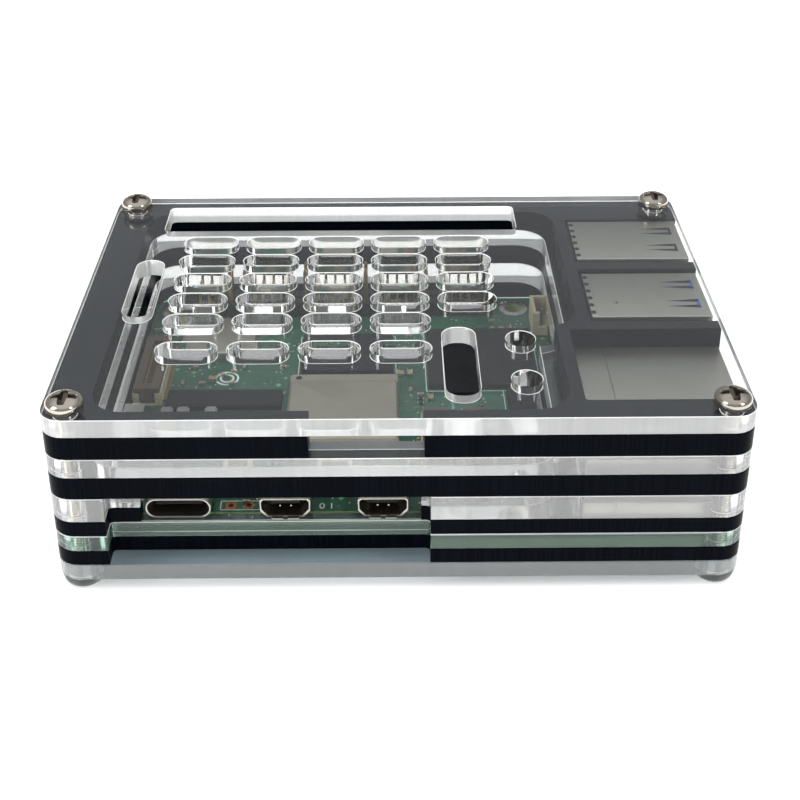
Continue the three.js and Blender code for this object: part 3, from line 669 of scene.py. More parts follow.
def bottom_sheet():
    """The bottom plate: hexagonal nut pockets below, round screw holes above, a flat ceiling between. The
    lower face is filled up to a circle round each pocket, then from each circle to its pocket."""
    (_, _, low), (_, _, high) = span("bottom_plate")
    above, below = cad_outlines("bottom_plate"), cad_outlines("bottom_plate", upward=False)
    rim = max(above, key=lambda loop: np.ptp(loop[:, 0]))
    holes = [loop for loop in above if loop is not rim]
    pockets = [
        loop.mean(0) + (loop - loop.mean(0)) * POCKET_SHARE
        for loop in below
        if np.ptp(loop[:, 0]) < LARGEST_POCKET
    ]
    rings = [
        circle_outline(*pocket.mean(0), np.ptp(pocket[:, 0]) / 2 + POCKET_MARGIN, 48)[::-1]
        for pocket in pockets
    ]
    ceiling = span("nut_front_left")[1][2] + POCKET_CLEARANCE
    narrow = inset(rim, SHEET_EASE)
    shape = Shape().wall(eased_wall(rim, low, high, SHEET_EASE), CUT_SIDE)
    shape.cap([narrow] + rings, low, False)
    for pocket, ring in zip(pockets, rings):
        shape.cap([ring[::-1], pocket], low, False)
    shape.cap([narrow] + holes, high, True)
    for pocket in pockets:
        hole = min(holes, key=lambda loop: np.linalg.norm(loop.mean(0) - pocket.mean(0)))
        shape.wall([at_height(pocket, level) for level in (low, ceiling)], CUT_SIDE)
        shape.wall([at_height(hole, level) for level in (ceiling, high)], CUT_SIDE)
        shape.cap([pocket[::-1], hole], ceiling, False)
    # The bottom plate takes the clear finishes darkened by painted shade.
    piece("bottom_plate_sheet", shape, SHADED_CLEAR, "bottom_plate")


for layer, finishes in (
    ("top_plate", FROSTED),
    ("layer_3_clear", CLEAR),
    ("layer_5_clear", CLEAR),
    ("layer_7_clear", REFLECTED_BOARD),
):
    acrylic_sheet(layer, finishes)
for layer in ("layer_2_black", "layer_4_black", "layer_6_black", "layer_6_black_corner", "layer_8_black"):
    acrylic_sheet(layer, BLACK)
bottom_sheet()


# ---- fasteners and feet ----
THREAD_PITCH = 0.45
THREAD_DEPTH = 0.24
ROUND_STEPS = np.arange(96) * 2 * np.pi / 96


def machine_screw(corner):
    """A pan head over a threaded shank, as one grid of angle and profile. The head's top is a flattened dome
    less a cross: two crossing wings, deepest at the middle. The thread's radius is a triangle wave of height
    less the share of a turn."""
    low, high = span("screw_" + corner)
    x, y = (low + high)[:2] / 2
    seat, radius, root = high[2] - 1.9, 2.5, 1.25
    turn = ROUND_STEPS
    r = np.concatenate([np.linspace(0, 1.95, 40), np.linspace(2.0, radius, 14)])[:, None]
    dome = seat + 0.75 + 1.15 * np.sqrt(np.clip(1 - (r / radius) ** 2.5, 0, 1))
    px, py = r * np.cos(turn), r * np.sin(turn)
    long, across = np.maximum(abs(px), abs(py)), np.minimum(abs(px), abs(py))
    wing = np.clip((0.66 - 0.12 * long - across) / 0.2, 0, 1) * np.clip((1.85 - long) / 0.25, 0, 1)
    wing = wing * wing * (3 - 2 * wing)
    height = np.broadcast_to(dome, px.shape) - wing * (1.5 - 0.55 * long)
    head = [np.column_stack([x + px[k], y + py[k], height[k]]) for k in range(len(r))]
    under = ((radius, seat + 0.1), (radius - 0.1, seat), (root, seat))
    edge = [turned_ring(x, y, reach, level, turn) for reach, level in under]
    levels = np.arange(seat - 0.05, low[2] + 0.3, -THREAD_PITCH / 6)
    wave = abs(((levels[:, None] / THREAD_PITCH - turn / (2 * np.pi)) % 1) * 2 - 1)
    shank = [turned_ring(x, y, *pair, turn) for pair in zip(root - THREAD_DEPTH * wave, levels)]
    tip = [turned_ring(x, y, reach, low[2], turn) for reach in (0.9, 0.0)]
    shape = Shape().wall((head + edge + shank + tip)[::-1])
    # Painted shade: the faces deep in the cross take the dark nickel, for the shade in the recess.
    deep = (wing[:-1] > 0.45)[::-1]  # the head's quads come last, since the rings are handed over reversed
    shape.finish[-deep.size :] = deep.astype(int).ravel().tolist()
    name, node = "machine_screw_" + corner, "screw_" + corner
    piece(name, shape, [NICKEL, RECESS_SHADE], node, smooth=math.radians(50))


def hex_nut(corner):
    """A grid of angle and profile: the radius is the hexagon's, or the chamfer cone's where that's less."""
    low, high = span("nut_" + corner)
    x, y = (low + high)[:2] / 2
    flat = (high - low)[1] / 2
    turn = ROUND_STEPS
    hexagon = flat / np.cos((turn + np.pi / 6) % (np.pi / 3) - np.pi / 6)
    ends = (np.linspace(low[2], low[2] + 0.4, 5), np.linspace(high[2] - 0.4, high[2], 5))
    levels = np.concatenate(ends)
    cone = flat * 0.97 + 1.9 * np.minimum(levels - low[2], high[2] - levels)
    outer = np.minimum(hexagon, cone[:, None])
    rings = [turned_ring(x, y, *pair, turn) for pair in zip(outer, levels)]
    inside = ((1.75, high[2]), (1.58, high[2] - 0.2), (1.58, low[2] + 0.2), (1.75, low[2]))
    bore = [turned_ring(x, y, reach, level, turn) for reach, level in inside]
    shape = Shape().wall(rings + bore + rings[:1])
    piece("hex_nut_" + corner, shape, NICKEL, "nut_" + corner)


def bumper_foot(corner):
    """A turned clear bumper: flat under the middle, then a quarter of a superellipse up to the plate."""
    low, high = span("foot_" + corner)
    x, y = (low + high)[:2] / 2
    turn = np.linspace(0, np.pi / 2, 12)
    radius = 1.8 + 1.3 * np.sin(turn) ** 0.9
    height = low[2] + (high[2] - low[2] - 0.02) * (1 - np.cos(turn) ** 0.9)
    profile = [(0, low[2]), *zip(radius, height), (3.05, high[2]), (0, high[2])]
    turned = Shape().lathe(profile, x, y, 48)
    piece("bumper_foot_" + corner, turned, RUBBER, "foot_" + corner)


for corner in ("front_left", "front_right", "rear_left", "rear_right"):
    machine_screw(corner)
    hex_nut(corner)
    bumper_foot(corner)


# ---- the circuit board ----
BOARD_LOW, BOARD_HIGH = span("circuit_board")
BOARD_X, BOARD_Y = BOARD_LOW[:2]
BOARD_TOP, BOARD_UNDER = BOARD_HIGH[2], BOARD_LOW[2]
MOUNTING_HOLES = [(3.5, 3.5), (61.5, 3.5), (3.5, 52.5), (61.5, 52.5)]


def on_board(x, y, z=0.0):
    """A place measured from the board's front left corner and its upper face, in the model's frame."""
    return np.array([BOARD_X + x, BOARD_Y + y, BOARD_TOP + z])


def board_plate():
    """The board raised from its CAD outlines, with a plated ring round each mounting hole, on both sides."""
    plate = Shape().prism(cad_outlines("circuit_board"), BOARD_UNDER, BOARD_TOP, 0.04)
    piece("circuit_board_plate", plate, BOARD, "circuit_board")
    rings = Shape()
    for x, y in MOUNTING_HOLES:
        cx, cy, _ = on_board(x, y)
        ring = [circle_outline(cx, cy, 2.4, 48), circle_outline(cx, cy, 1.42, 48)[::-1]]
        for level, outward in ((BOARD_TOP, 1), (BOARD_UNDER, -1)):
            low, high = sorted((level - 0.01 * outward, level + 0.025 * outward))
            rings.prism(ring, low, high, 0.01)
    piece("mounting_hole_pads", rings, TIN)


board_plate()


def occupied_spots(margin):
    """The low and high corners of every part on the board, in the plane, with a margin."""
    boxes = []
    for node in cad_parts:
        low, high = span(node)
        if BOARD_TOP - 0.1 < low[2] < BOARD_TOP + 0.4 and "layer" not in node:
            boxes.append(np.concatenate([low[:2] - margin, high[:2] + margin]))
    return np.array(boxes)


def free_of(points, boxes):
    """Whether each point lies outside every box and clear of the mounting holes."""
    inside = (points[:, None, 0] > boxes[:, 0]) & (points[:, None, 0] < boxes[:, 2])
    inside &= (points[:, None, 1] > boxes[:, 1]) & (points[:, None, 1] < boxes[:, 3])
    clear = ~inside.any(1)
    holes = np.array([on_board(x, y)[:2] for x, y in MOUNTING_HOLES])
    return clear & (np.linalg.norm(points[:, None] - holes, axis=2) > 3.6).all(1)


CHIP_KINDS = (  # the draws it takes, from and to, its length, width and height, and its body's finish
    (0, 0.55, 1.0, 0.5, 0.42, 0),
    (0.55, 0.9, 1.0, 0.5, 0.3, 1),
    (0.9, 1.0, 1.3, 0.95, 0.6, 0),
)


def small_parts():
    """Chip capacitors and resistors on a grid of 1.55 by 1.15, each place kept or dropped by a fixed draw.
    Each part is a body between two plated ends."""
    rng = np.random.default_rng(17)
    xs, ys = np.meshgrid(np.arange(1.6, 66.0, 1.55), np.arange(2.0, 50.0, 1.15))
    places = np.column_stack([xs.ravel() + BOARD_X, ys.ravel() + BOARD_Y])
    density = 0.5 + 0.5 * np.sin(places[:, 0] * 0.37 + 1.1) * np.cos(places[:, 1] * 0.31)
    places = places[(rng.random(len(places)) < 0.03 + 0.17 * density) & free_of(places, occupied_spots(0.9))]
    kind = rng.random(len(places))
    upright = rng.random(len(places)) < 0.35
    shape = Shape()
    for low, high, length, width, height, body in CHIP_KINDS:
        for turned in (False, True):
            chosen = places[(kind >= low) & (kind < high) & (upright == turned)]
            if not len(chosen):
                continue
            step = np.array([0, 1, 0]) if turned else np.array([1, 0, 0])
            middle = np.column_stack([chosen, np.full(len(chosen), BOARD_TOP + 0.02 + height / 2)])
            core = np.array([length * 0.62, width * 0.96, height * 0.96])
            end = np.array([length * 0.2, width, height])
            if turned:
                core, end = core[[1, 0, 2]], end[[1, 0, 2]]
            shape.stamp(UNIT_BLOCK, middle, core, body)
            for sign in (-1, 1):
                shape.stamp(UNIT_BLOCK, middle + sign * step * length * 0.4, end, 2)
    piece("chip_parts", shape, [TAN, CHIP, TIN], weld=False)


small_parts()


def vias():
    """Plated vias scattered by a fixed draw over the free board, as low domes."""
    rng = np.random.default_rng(5)
    places = rng.random((900, 2)) * np.array([82, 54]) + np.array([BOARD_X + 1.5, BOARD_Y + 1])
    places = places[free_of(places, occupied_spots(0.2))][:420]
    middles = np.column_stack([places, np.full(len(places), BOARD_TOP - 0.005)])
    domes = Shape().stamp(UNIT_DOME, middles, (0.36, 0.36, 0.03))
    piece("plated_vias", domes, TIN, weld=False)


vias()


INK_LEVELS = (BOARD_TOP - 0.005, BOARD_TOP + 0.02)
NUMERALS = (("0 1", 30.3, 0.55, 1.7), ("1", 20.4, 49.0, 1.4), ("2", 20.4, 53.9, 1.4), ("40", 59.4, 53.9, 1.4))


def ink_frame(shape, x0, x1, y0, y1, width=0.14, corner=0.2):
    """A printed rectangle: a round-cornered outline and the same one set in by the line's width."""
    low, high = on_board(x0, y0), on_board(x1, y1)
    outer = rounded_outline(low[0], high[0], low[1], high[1], corner, 3)
    shape.prism([outer, inset(outer, width)[::-1]], *INK_LEVELS, 0.004)


def ink():
    """Printed lines: frames round the parts, two rings as a plain round mark, and numerals."""
    shape = Shape()
    ink_frame(shape, 16.6, 22.2, 0.35, 2.4)
    for node in ("memory_chip", "io_controller_chip", "network_chip"):
        low, high = span(node)
        (x0, y0), (x1, y1) = low[:2] - BOARD_LOW[:2] - 0.5, high[:2] - BOARD_LOW[:2] + 0.5
        ink_frame(shape, x0, x1, y0, y1, 0.12)
    cx, cy, _ = on_board(14.6, 31.2)
    for radius in (1.9, 1.15):
        ring = [circle_outline(cx, cy, radius, 48), circle_outline(cx, cy, radius - 0.3, 48)[::-1]]
        shape.prism(ring, *INK_LEVELS, 0.004)
    piece("printed_marks", shape, SILK)
    for text, x, y, size in NUMERALS:
        letters = bpy.data.curves.new("numeral", "FONT")
        letters.body, letters.size, letters.extrude = text, size * MM, 0.01 * MM
        holder = bpy.data.objects.new("numeral", letters)
        mesh = bpy.data.meshes.new_from_object(holder)
        bpy.data.objects.remove(holder)
        mesh.transform(Matrix.Translation(Vector(on_board(x, y, 0.008)) * MM))
        mesh.materials.clear()
        mesh.materials.append(SILK)
        made = bpy.data.objects.new("numeral_" + text.replace(" ", "_"), mesh)
        bpy.context.scene.collection.objects.link(made)
        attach(made, "case")


ink()


def test_pads():
    """Two plated through holes by the power socket, one square, one round, each a ring over a black disc:
    painted shade for the open hole.
    """
    shape = Shape()
    for x, square in ((18.1, True), (20.6, False)):
        cx, cy, _ = on_board(x, 1.35)
        outer = rounded_outline(cx - 0.75, cx + 0.75, cy - 0.75, cy + 0.75, 0.1 if square else 0.7, 5)
        hole = circle_outline(cx, cy, 0.38, 24)
        shape.prism([outer, hole[::-1]], BOARD_TOP - 0.01, BOARD_TOP + 0.03, 0.01)
        # Painted shade: a black disc fills each hole for the dark inside it.
        shape.prism([circle_outline(cx, cy, 0.36, 24)], BOARD_TOP - 0.01, BOARD_TOP + 0.01, 0.004, 1)
    piece("test_pads", shape, [COPPER, BLACK_PLASTIC])


test_pads()


# ---- parts on the board ----
def epoxy_package(node, corner=0.2, dot=0.45, ease=0.12, dimple=0.07):
    """A moulded package: eased block with a shallow round dimple by its first terminal."""
    low, high = span(node)
    top, bottom = high[2], low[2]
    rim = rounded_outline(low[0], high[0], low[1], high[1], corner, 4)
    spot = circle_outline(low[0] + 1.1, high[1] - 1.1, dot, 24)[::-1]
    floor = inset(spot, -0.08)
    foot, crown = inset(rim, ease / 2), inset(rim, ease)
    levels = ((foot, bottom), (rim, bottom + ease / 2), (rim, top - ease), (crown, top))
    shape = Shape().wall([at_height(outline, level) for outline, level in levels])
    shape.cap([foot], bottom, False)
    shape.cap([crown, spot], top, True)
    shape.wall([at_height(floor, top - dimple), at_height(spot, top)])
    return shape.cap([floor[::-1]], top - dimple, True)


for node in ("memory_chip", "io_controller_chip", "power_management_chip", "network_chip"):
    piece(node + "_package", epoxy_package(node), CHIP, node)


def processor():
    """The substrate is a thin eased plate; the lid is a stamped plate whose crown stands over its skirt."""
    low, high = span("processor_substrate")
    carrier = Shape().block(low[0], high[0], low[1], high[1], low[2], high[2], 0.05, 0.2)
    piece("processor_carrier", carrier, BOARD, "processor_substrate")
    low, high = span("processor_lid")
    top = high[2]
    step = top - 0.28
    skirt = rounded_outline(low[0], high[0], low[1], high[1], 0.6)
    crown = rounded_outline(low[0] + 0.12, high[0] - 0.12, low[1] + 1.6, high[1] - 2.0, 0.7)
    spot = circle_outline(low[0] + 1.35, high[1] - 1.05, 0.5, 24)[::-1]
    shelf, flat = inset(skirt, 0.12), inset(crown, 0.45)
    sides = ((skirt, low[2]), (skirt, step - 0.12), (shelf, step))
    shoulder = ((crown, step), (inset(crown, 0.06), step + 0.1), (inset(crown, 0.2), top - 0.08), (flat, top))
    shape = Shape()
    shape.wall([at_height(outline, level) for outline, level in sides])
    shape.cap([skirt], low[2], False)
    shape.cap([shelf, crown[::-1], spot], step, True)
    shape.wall([at_height(outline, level) for outline, level in shoulder])
    shape.cap([flat], top, True)
    shape.wall([at_height(spot, level) for level in (step - 0.1, step)], 1)
    shape.cap([spot[::-1]], step - 0.1, True, 1)
    piece("processor_lid_plate", shape, [LID, CHIP], "processor_lid")


processor()


def wireless_can():
    """A drawn shield with a round shoulder: a quarter circle from its side to its top."""
    low, high = span("wireless_module_shield")
    bend = 0.35
    rim = rounded_outline(low[0], high[0], low[1], high[1], 0.8)
    rings = [at_height(rim, low[2])]
    for turn in np.linspace(0, np.pi / 2, 5):
        level = high[2] - bend + bend * np.sin(turn)
        rings.append(at_height(inset(rim, bend * (1 - np.cos(turn))), level))
    shape = Shape().wall(rings).cap([rim], low[2], False).cap([inset(rim, bend)], high[2], True)
    piece("wireless_shield_can", shape, STEEL, "wireless_module_shield")


wireless_can()


def inductors():
    """Three wound inductors: an eased block on two plated feet."""
    for k in (1, 2, 3):
        low, high = span(f"inductor_{k}")
        shape = Shape().block(low[0] + 0.15, high[0] - 0.15, low[1], high[1], low[2], high[2], 0.1, 0.25, 0)
        for x0, x1 in ((low[0], low[0] + 0.3), (high[0] - 0.3, high[0])):
            shape.block(x0, x1, low[1] + 0.1, high[1] - 0.1, low[2], high[2] - 0.25, 0.04, 0.08, 1)
        piece(f"inductor_{k}_winding", shape, [FERRITE, TIN], f"inductor_{k}", weld=False)


inductors()


PIN_PITCH = 2.54
PIN_WIDTH = 0.64
CELL = ((-1, -0.62), (-0.62, -1), (0.62, -1), (1, -0.62), (1, 0.62), (0.62, 1), (-0.62, 1), (-1, 0.62))
CELL_REACH = 0.498  # of the pitch, so that neighbouring cells don't share a face


def pin_header(node, columns, rows, name):
    """Square pins with tapered tips, each standing in an eight-sided cell."""
    low, high = span(node)
    column, row = np.meshgrid(np.arange(columns), np.arange(rows))
    middle = (low + high) / 2
    x = middle[0] + (column.ravel() - (columns - 1) / 2) * PIN_PITCH
    y = middle[1] + (row.ravel() - (rows - 1) / 2) * PIN_PITCH
    places = at_height(np.column_stack([x, y]), low[2])
    cell = np.array(CELL) * PIN_PITCH * CELL_REACH
    levels = ((cell, 0.0), (cell, PIN_PITCH - 0.12), (cell * 0.93, PIN_PITCH))
    points = np.concatenate([at_height(outline, level) for outline, level in levels])
    faces = [band_quads(8, (0, 8)), np.arange(8)[::-1][None], (np.arange(8) + 16)[None]]
    shape = Shape().stamp((points, faces), places, (1, 1, 1), 0)
    square, length = UNIT_SQUARE * PIN_WIDTH, high[2] - low[2]
    levels = ((square, 0.5), (square, length - 0.6), (square * 0.5, length))
    points = np.concatenate([at_height(outline, level) for outline, level in levels])
    shape.stamp((points, SQUARE_TOWER), places, (1, 1, 1), 1)
    piece(name, shape, [BLACK_PLASTIC, GOLD], node, weld=False, smooth=math.radians(20))
    return x, y


header_x, header_y = pin_header("gpio_header", 20, 2, "gpio_pin_header")
power_x, power_y = pin_header("power_over_network_header", 2, 2, "power_over_network_pins")


def solder_side():
    """The joints under the board: domes on the header pins and the jacks' legs, with small parts between."""
    x = np.concatenate([header_x, power_x])
    y = np.concatenate([header_y, power_y])
    for node, columns in (("usb3_shell", 9), ("usb2_shell", 8), ("network_jack_shell", 10)):
        low, high = span(node)
        across = np.linspace(low[1] + 1.5, high[1] - 1.5, columns)
        x = np.concatenate([x, np.where(np.arange(columns) % 2, low[0] + 4.0, low[0] + 6.2)])
        y = np.concatenate([y, across])
    places = np.column_stack([x, y, np.full(len(x), BOARD_UNDER + 0.01)])
    shape = Shape().stamp(UNIT_DOME, places, (1.7, -1.7, -0.9))
    rng = np.random.default_rng(23)
    spots = rng.random((150, 2)) * np.array([58, 38]) + np.array([BOARD_X + 18, BOARD_Y + 8])
    joints = places[:, :2]
    spots = spots[(np.linalg.norm(spots[:, None] - joints, axis=2) > 1.8).all(1)]
    under = np.column_stack([spots, np.full(len(spots), BOARD_UNDER - 0.2)])
    shape.stamp(UNIT_BLOCK, under, (1.0, 0.5, 0.36), 1)
    for sign in (-0.4, 0.4):
        shape.stamp(UNIT_BLOCK, under + np.array([sign, 0, 0]), (0.22, 0.54, 0.4), 0)
    piece("solder_side_joints", shape, [TIN, TAN], weld=False)


solder_side()


# ---- jacks on the right ----
BACK_OVERLAP = 0.05  # a socket's closing back starts this far inside its sleeve


def usb_jack(kind, slot_plastic):
    """Folded steel round two stacked ports: a sleeve carried along X, a closing back, a bar across the mouth,
    slits round two springs, slots, dimples, and a plastic core with two tongues of contacts."""
    node = f"usb{kind}_shell"
    low, high = span(node)
    top, back, mouth = high[2], low[0], high[0]
    wall, ease = 0.4, 0.06
    shape = Shape()
    outer = rounded_outline(low[1], high[1], low[2], high[2], 0.2, 3)
    inner = rounded_outline(low[1] + wall, high[1] - wall, low[2] + wall, high[2] - wall, 0.15, 3)[::-1]
    shape.prism([outer, inner], back + 1.0, mouth, ease, 0, ALONG_X)
    shape.prism([outer], back, back + 1.0 + BACK_OVERLAP, ease, 0, ALONG_X)
    bar = rounded_outline(low[1] + wall, high[1] - wall, low[2] + 6.9, low[2] + 9.1, 0.3, 3)
    shape.prism([bar], mouth - 8.5, mouth - 0.02, 0.12, 0, ALONG_X)
    # each spring is a tongue between two tapering slits that meet at its free end
    root, end = mouth - 6.2, mouth - 1.6
    for centre in (low[1] + 3.7, high[1] - 3.7):
        slit = [(root, -0.75), (end + 0.4, -1.3), (end + 0.4, 1.3), (root, 0.75), (end, 0.42), (end, -0.42)]
        # Painted shade: the slits are thin black strips laid on the steel, standing for the dark gaps.
        shape.prism([np.array(slit) + (0, centre)], top - 0.04, top + 0.015, 0.005, 1)
        shape.block(end + 0.04, end + 0.34, centre - 0.7, centre + 0.7, top - 0.05, top + 0.02, 0.01, 0.1, 2)
    # Painted shade: the slots at the back are black strips on the steel, standing for the dark openings.
    for y in np.linspace(low[1] + 1.3, high[1] - 1.3, 6):
        shape.block(back + 0.02, back + 0.75, y - 0.5, y + 0.5, top - 0.05, top + 0.02, 0.01, 0.36, 1)
    dimple = [(0.0, top - 0.02), (0.45, top - 0.02), (0.42, top + 0.02), (0.2, top), (0.0, top)]
    for y in (low[1] + 4.0, high[1] - 4.0):
        shape.lathe(dimple, back + 4.2, y, 20, 0)
    piece(f"usb{kind}_jack_shell", shape, [STEEL, BLACK_PLASTIC, slot_plastic], node)

    node = f"usb{kind}_insulator"
    ilow, ihigh = span(node)
    core = Shape().block(ilow[0], ilow[0] + 4, ilow[1], ihigh[1], ilow[2], ihigh[2], 0.1, 0.2)
    contacts = np.linspace(ilow[1] + 1.6, ihigh[1] - 1.6, 4)
    for z in (4.85, 13.2):
        base = low[2] + z
        core.block(ilow[0] + 3.9, ihigh[0], ilow[1], ihigh[1], base, base + 1.7, 0.15, 0.3)
        places = np.column_stack([np.full(4, ihigh[0] - 3.6), contacts, np.full(4, base - 0.01)])
        core.stamp(UNIT_BLOCK, places, (5.6, 1.0, 0.12), 1)
    piece(f"usb{kind}_core", core, [slot_plastic, GOLD], node, weld=False)


usb_jack(3, BLUE)
usb_jack(2, BLACK_PLASTIC)


def network_jack():
    """A folded steel cover over a moulded body with a plug cavity, eight sprung contacts and two lamps."""
    low, high = span("network_jack_shell")
    outer = rounded_outline(low[1], high[1], low[2], high[2], 0.5, 4)
    inner = rounded_outline(low[1] + 0.5, high[1] - 0.5, low[2] + 0.5, high[2] - 0.5, 0.3, 4)[::-1]
    shape = Shape().prism([outer, inner], low[0] + 4.4, high[0], 0.06, 0, ALONG_X)
    shape.prism([outer], low[0], low[0] + 4.4, 0.08, 0, ALONG_X)
    piece("network_jack_cover", shape, [STEEL, BLACK_PLASTIC], "network_jack_shell")
    dress("network_jack_insert", BLACK_PLASTIC)
    soften("network_jack_insert")
    ilow, ihigh = span("network_jack_insert")
    middle = (ilow[1] + ihigh[1]) / 2
    wires = middle + (np.arange(8) - 3.5) * 1.02
    contacts = Shape()
    along = np.linspace(0, 1, 16)
    x = ilow[0] + 2.6 + 7.5 * along
    z = low[2] + 11.2 - 3.4 * along**1.4
    ring = np.array([(-0.15, -0.12), (0.15, -0.12), (0.15, 0.12), (-0.15, 0.12)])
    for y in wires:
        rings = [np.column_stack([np.full(4, x[k]), y + ring[:, 0], z[k] + ring[:, 1]]) for k in range(16)]
        ends = [np.tile(rings[k].mean(0), (4, 1)) for k in (0, -1)]
        contacts.wall([ends[0], *rings, ends[1]], 0)
    for y, tone in ((ilow[1] + 1.6, 1), (ihigh[1] - 1.6, 2)):
        heights = ihigh[2] - 2.2, ihigh[2] - 0.6
        contacts.block(ihigh[0] - 0.5, ihigh[0] + 0.22, y - 1.1, y + 1.1, *heights, 0.05, 0.1, tone)
    piece("network_contacts", contacts, [GOLD, WHITE, TAN])


network_jack()


# ---- sockets on the front edge ----
def power_socket():
    """A pill-shaped drawn tube round a thin tongue: outlines in Z and X carried along Y."""
    low, high = span("power_socket_shell")
    wall, back = 0.24, high[1] - 0.5
    radius = (high[2] - low[2]) / 2 - 0.02
    outer = rounded_outline(low[2], high[2], low[0], high[0], radius, 10)
    inside = low[2] + wall, high[2] - wall, low[0] + wall, high[0] - wall
    inner = rounded_outline(*inside, radius - wall, 10)[::-1]
    shape = Shape().prism([outer, inner], low[1], back, 0.05, 0, ALONG_Y)
    shape.prism([outer], back - BACK_OVERLAP, high[1], 0.05, 0, ALONG_Y)
    piece("power_socket_tube", shape, STEEL, "power_socket_shell")
    tlow, thigh = span("power_socket_tongue")
    middle = (tlow[2] + thigh[2]) / 2
    root = tlow[0] + 0.3, thigh[0] - 0.3, thigh[1] - 1.2, thigh[1]
    tongue = Shape().block(*root, tlow[2], thigh[2], 0.05, 0.1)
    tongue.block(tlow[0], thigh[0], tlow[1] + 0.4, thigh[1] - 1.0, middle - 0.3, middle + 0.3, 0.08, 0.3)
    pads = np.linspace(tlow[0] + 0.7, thigh[0] - 0.7, 12)
    places = np.column_stack([pads, np.full(12, tlow[1] + 2.2), np.full(12, middle + 0.29)])
    tongue.stamp(UNIT_BLOCK, places, (0.25, 2.6, 0.08), 1)
    finishes = [BLACK_PLASTIC, GOLD]
    piece("power_socket_contacts", tongue, finishes, "power_socket_tongue", weld=False)


def display_socket(k):
    """A folded shell narrowing to its lower corners, with a tongue of contacts: outlines in Z and X carried
    along Y."""
    low, high = span(f"display_socket_shell_{k}")
    wall, taper, rise, corner, back = 0.22, 0.9, 0.9 * 1.2, 0.3, high[1] - 0.6

    def outline(grow):
        """The shell's section set in by a distance, anticlockwise."""
        z0, z1, x0, x1 = low[2] + grow, high[2] - grow, low[0] + grow, high[0] - grow
        left = [(z0, x0 + taper), (z0 + rise, x0), (z1 - corner, x0), (z1, x0 + corner)]
        right = [(z1, x1 - corner), (z1 - corner, x1), (z0 + rise, x1), (z0, x1 - taper)]
        return np.array(left + right)

    shape = Shape().prism([outline(0), outline(wall)[::-1]], low[1], back, 0.05, 0, ALONG_Y)
    shape.prism([outline(0)], back - BACK_OVERLAP, high[1], 0.05, 0, ALONG_Y)
    centre = (low[0] + high[0]) / 2
    for middle in (centre - 1.1, centre + 1.1):  # the lower lip is folded out in two tabs
        tab = middle - 0.8, middle + 0.8, low[1] - 0.5, low[1] + 0.1
        shape.block(*tab, low[2], low[2] + 0.2, 0.04, 0.15)
    piece(f"display_socket_{k}_shell", shape, STEEL, f"display_socket_shell_{k}")
    tlow, thigh = span(f"display_socket_tongue_{k}")
    tongue = Shape().block(tlow[0], thigh[0], thigh[1] - 1.3, thigh[1], tlow[2], thigh[2], 0.05, 0.1)
    blade = tlow[0] + 0.1, thigh[0] - 0.1, tlow[1], thigh[1] - 1.2
    tongue.block(*blade, tlow[2] + 0.75, tlow[2] + 1.35, 0.08, 0.2)
    pads = np.linspace(tlow[0] + 0.5, thigh[0] - 0.5, 9)
    for z in (tlow[2] + 1.33, tlow[2] + 0.72):
        places = np.column_stack([pads, np.full(9, tlow[1] + 1.4), np.full(9, z)])
        tongue.stamp(UNIT_BLOCK, places, (0.2, 2.2, 0.07), 1)
    middle = (tlow[0] + thigh[0]) / 2
    dots = [(middle + side * 0.75, tlow[1], tlow[2] + 0.45) for side in (-1, 1)]
    tongue.stamp(UNIT_BLOCK, dots, (0.22, 0.1, 0.2), 2)
    name, node = f"display_socket_{k}_contacts", f"display_socket_tongue_{k}"
    piece(name, tongue, [BLACK_PLASTIC, GOLD, TIN], node, weld=False)


power_socket()
display_socket(1)
display_socket(2)


# ---- flat-cable connectors ----
def ribbon_connector(node):
    """A cream trough with a row of contacts at its mouth, and a brown latch frame with an ear at each end."""
    low, high = span(node + "_body")
    middle = (low + high) / 2
    dress(node + "_body", CREAM)
    dress(node + "_latch", BROWN)
    soften(node + "_body", 0.05)
    soften(node + "_latch", 0.05)
    rows = Shape()
    y = np.linspace(low[1] + 1.7, high[1] - 1.7, 22)
    for x in (low[0] - 0.35, high[0] + 0.35):
        places = np.column_stack([np.full(22, x), y, np.full(22, BOARD_TOP + 0.12)])
        rows.stamp(UNIT_BLOCK, places, (0.7, 0.28, 0.2), 0)
    places = np.column_stack([np.full(22, middle[0]), y, np.full(22, low[2] + 1.3)])
    rows.stamp(UNIT_BLOCK, places, (1.3, 0.24, 1.1), 0)
    piece(node + "_contacts", rows, GOLD, weld=False)


for node in ("camera_connector_1", "camera_connector_2", "expansion_connector"):
    ribbon_connector(node)

for node, material in (
    ("fan_connector", CREAM),
    ("battery_connector", CREAM),
    ("serial_connector", CREAM),
    ("status_led", WHITE),
    ("power_button_housing", STEEL),
    ("power_button_plunger", WHITE),
    ("card_socket", STEEL),
):
    dress(node, material)
    soften(node)


PIN_ROWS = (("fan_connector", 4, 1), ("battery_connector", 2, 0), ("serial_connector", 3, 0))


def connector_pins():
    """Square pins in the wells of the small connectors: a row of them, 1 mm apart, along X or Y."""
    shape = Shape()
    for node, count, along in PIN_ROWS:
        low, high = span(node)
        places = np.tile((low + high) / 2, (count, 1))
        places[:, along] += np.arange(count) - (count - 1) / 2
        places[:, 2] = low[2] + 2.2
        shape.stamp(UNIT_BLOCK, places, (0.36, 0.36, 3.0))
    piece("connector_pins", shape, TIN, weld=False)


connector_pins()


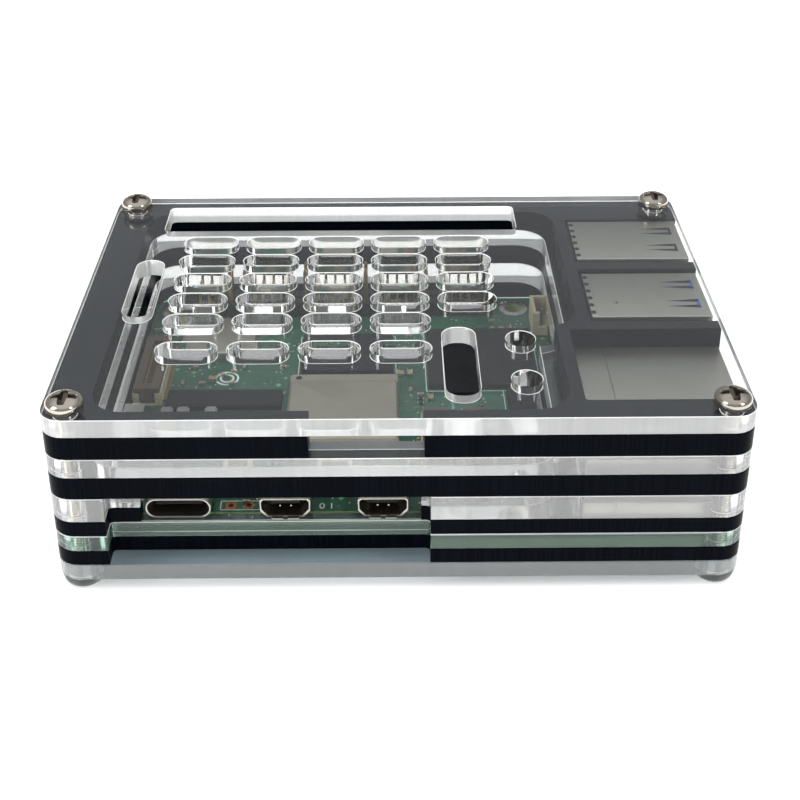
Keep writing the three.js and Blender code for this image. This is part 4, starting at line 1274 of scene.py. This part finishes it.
# ---- light and floor ----
def studio():
    """A pale floor that glows a little, a dim grey room that brightens overhead, and soft boxes. The overhead
    box lights the scene but doesn't show in glossy or clear surfaces."""
    floor = bpy.data.meshes.new("floor")
    side, depth = 4.0, -2e-5
    corners = [(-side, -side, depth), (side, -side, depth), (side, side, depth), (-side, side, depth)]
    floor.from_pydata(corners, [], [(0, 1, 2, 3)])
    material, w, shader = finish("pale_floor", (0.92, 0.92, 0.92), 0.9)
    shader.inputs["Emission Color"].default_value = (1, 1, 1, 1)
    shader.inputs["Emission Strength"].default_value = 0.14
    floor.materials.append(material)
    ground = bpy.data.objects.new("floor", floor)
    bpy.context.scene.collection.objects.link(ground)

    world = bpy.data.worlds.new("room")
    bpy.context.scene.world = world
    world.use_nodes = True
    w = Wiring(world.node_tree)
    height = w.add("SeparateXYZ", {0: w.add("TexCoord").outputs["Generated"]}).outputs["Z"]
    tone = w.remap(height, 0.5, 0.85, 0.38, 0.85)
    sky = world.node_tree.nodes["Background"].inputs
    sky["Color"].default_value = (0.96, 0.98, 1.0, 1)
    world.node_tree.links.new(tone, sky["Strength"])

    for name, place, target, size, power in (
        ("overhead_box", (0.0, -0.05, 0.75), (0, 0, 0), (1.3, 1.0), 9.6),
        ("left_box", (-0.6, -0.35, 0.45), (0, 0, 0.01), (0.3, 0.5), 2.2),
        ("right_strip_1", (0.5, -0.45, 0.5), (0, 0, 0.02), (0.04, 0.3), 0.5),
        ("right_strip_2", (0.6, -0.40, 0.5), (0, 0, 0.02), (0.04, 0.3), 0.5),
    ):
        lamp = bpy.data.lights.new(name, "AREA")
        lamp.shape, lamp.size, lamp.size_y, lamp.energy = "RECTANGLE", size[0], size[1], power
        holder = bpy.data.objects.new(name, lamp)
        holder.location = place
        holder.rotation_euler = (Vector(place) - Vector(target)).to_track_quat("Z", "Y").to_euler()
        holder.visible_glossy = holder.visible_transmission = name != "overhead_box"
        bpy.context.scene.collection.objects.link(holder)
    scene = bpy.context.scene
    scene.view_settings.view_transform = "Standard"
    scene.cycles.max_bounces = 28
    scene.cycles.transmission_bounces = 28
    scene.cycles.transparent_max_bounces = 16


studio()
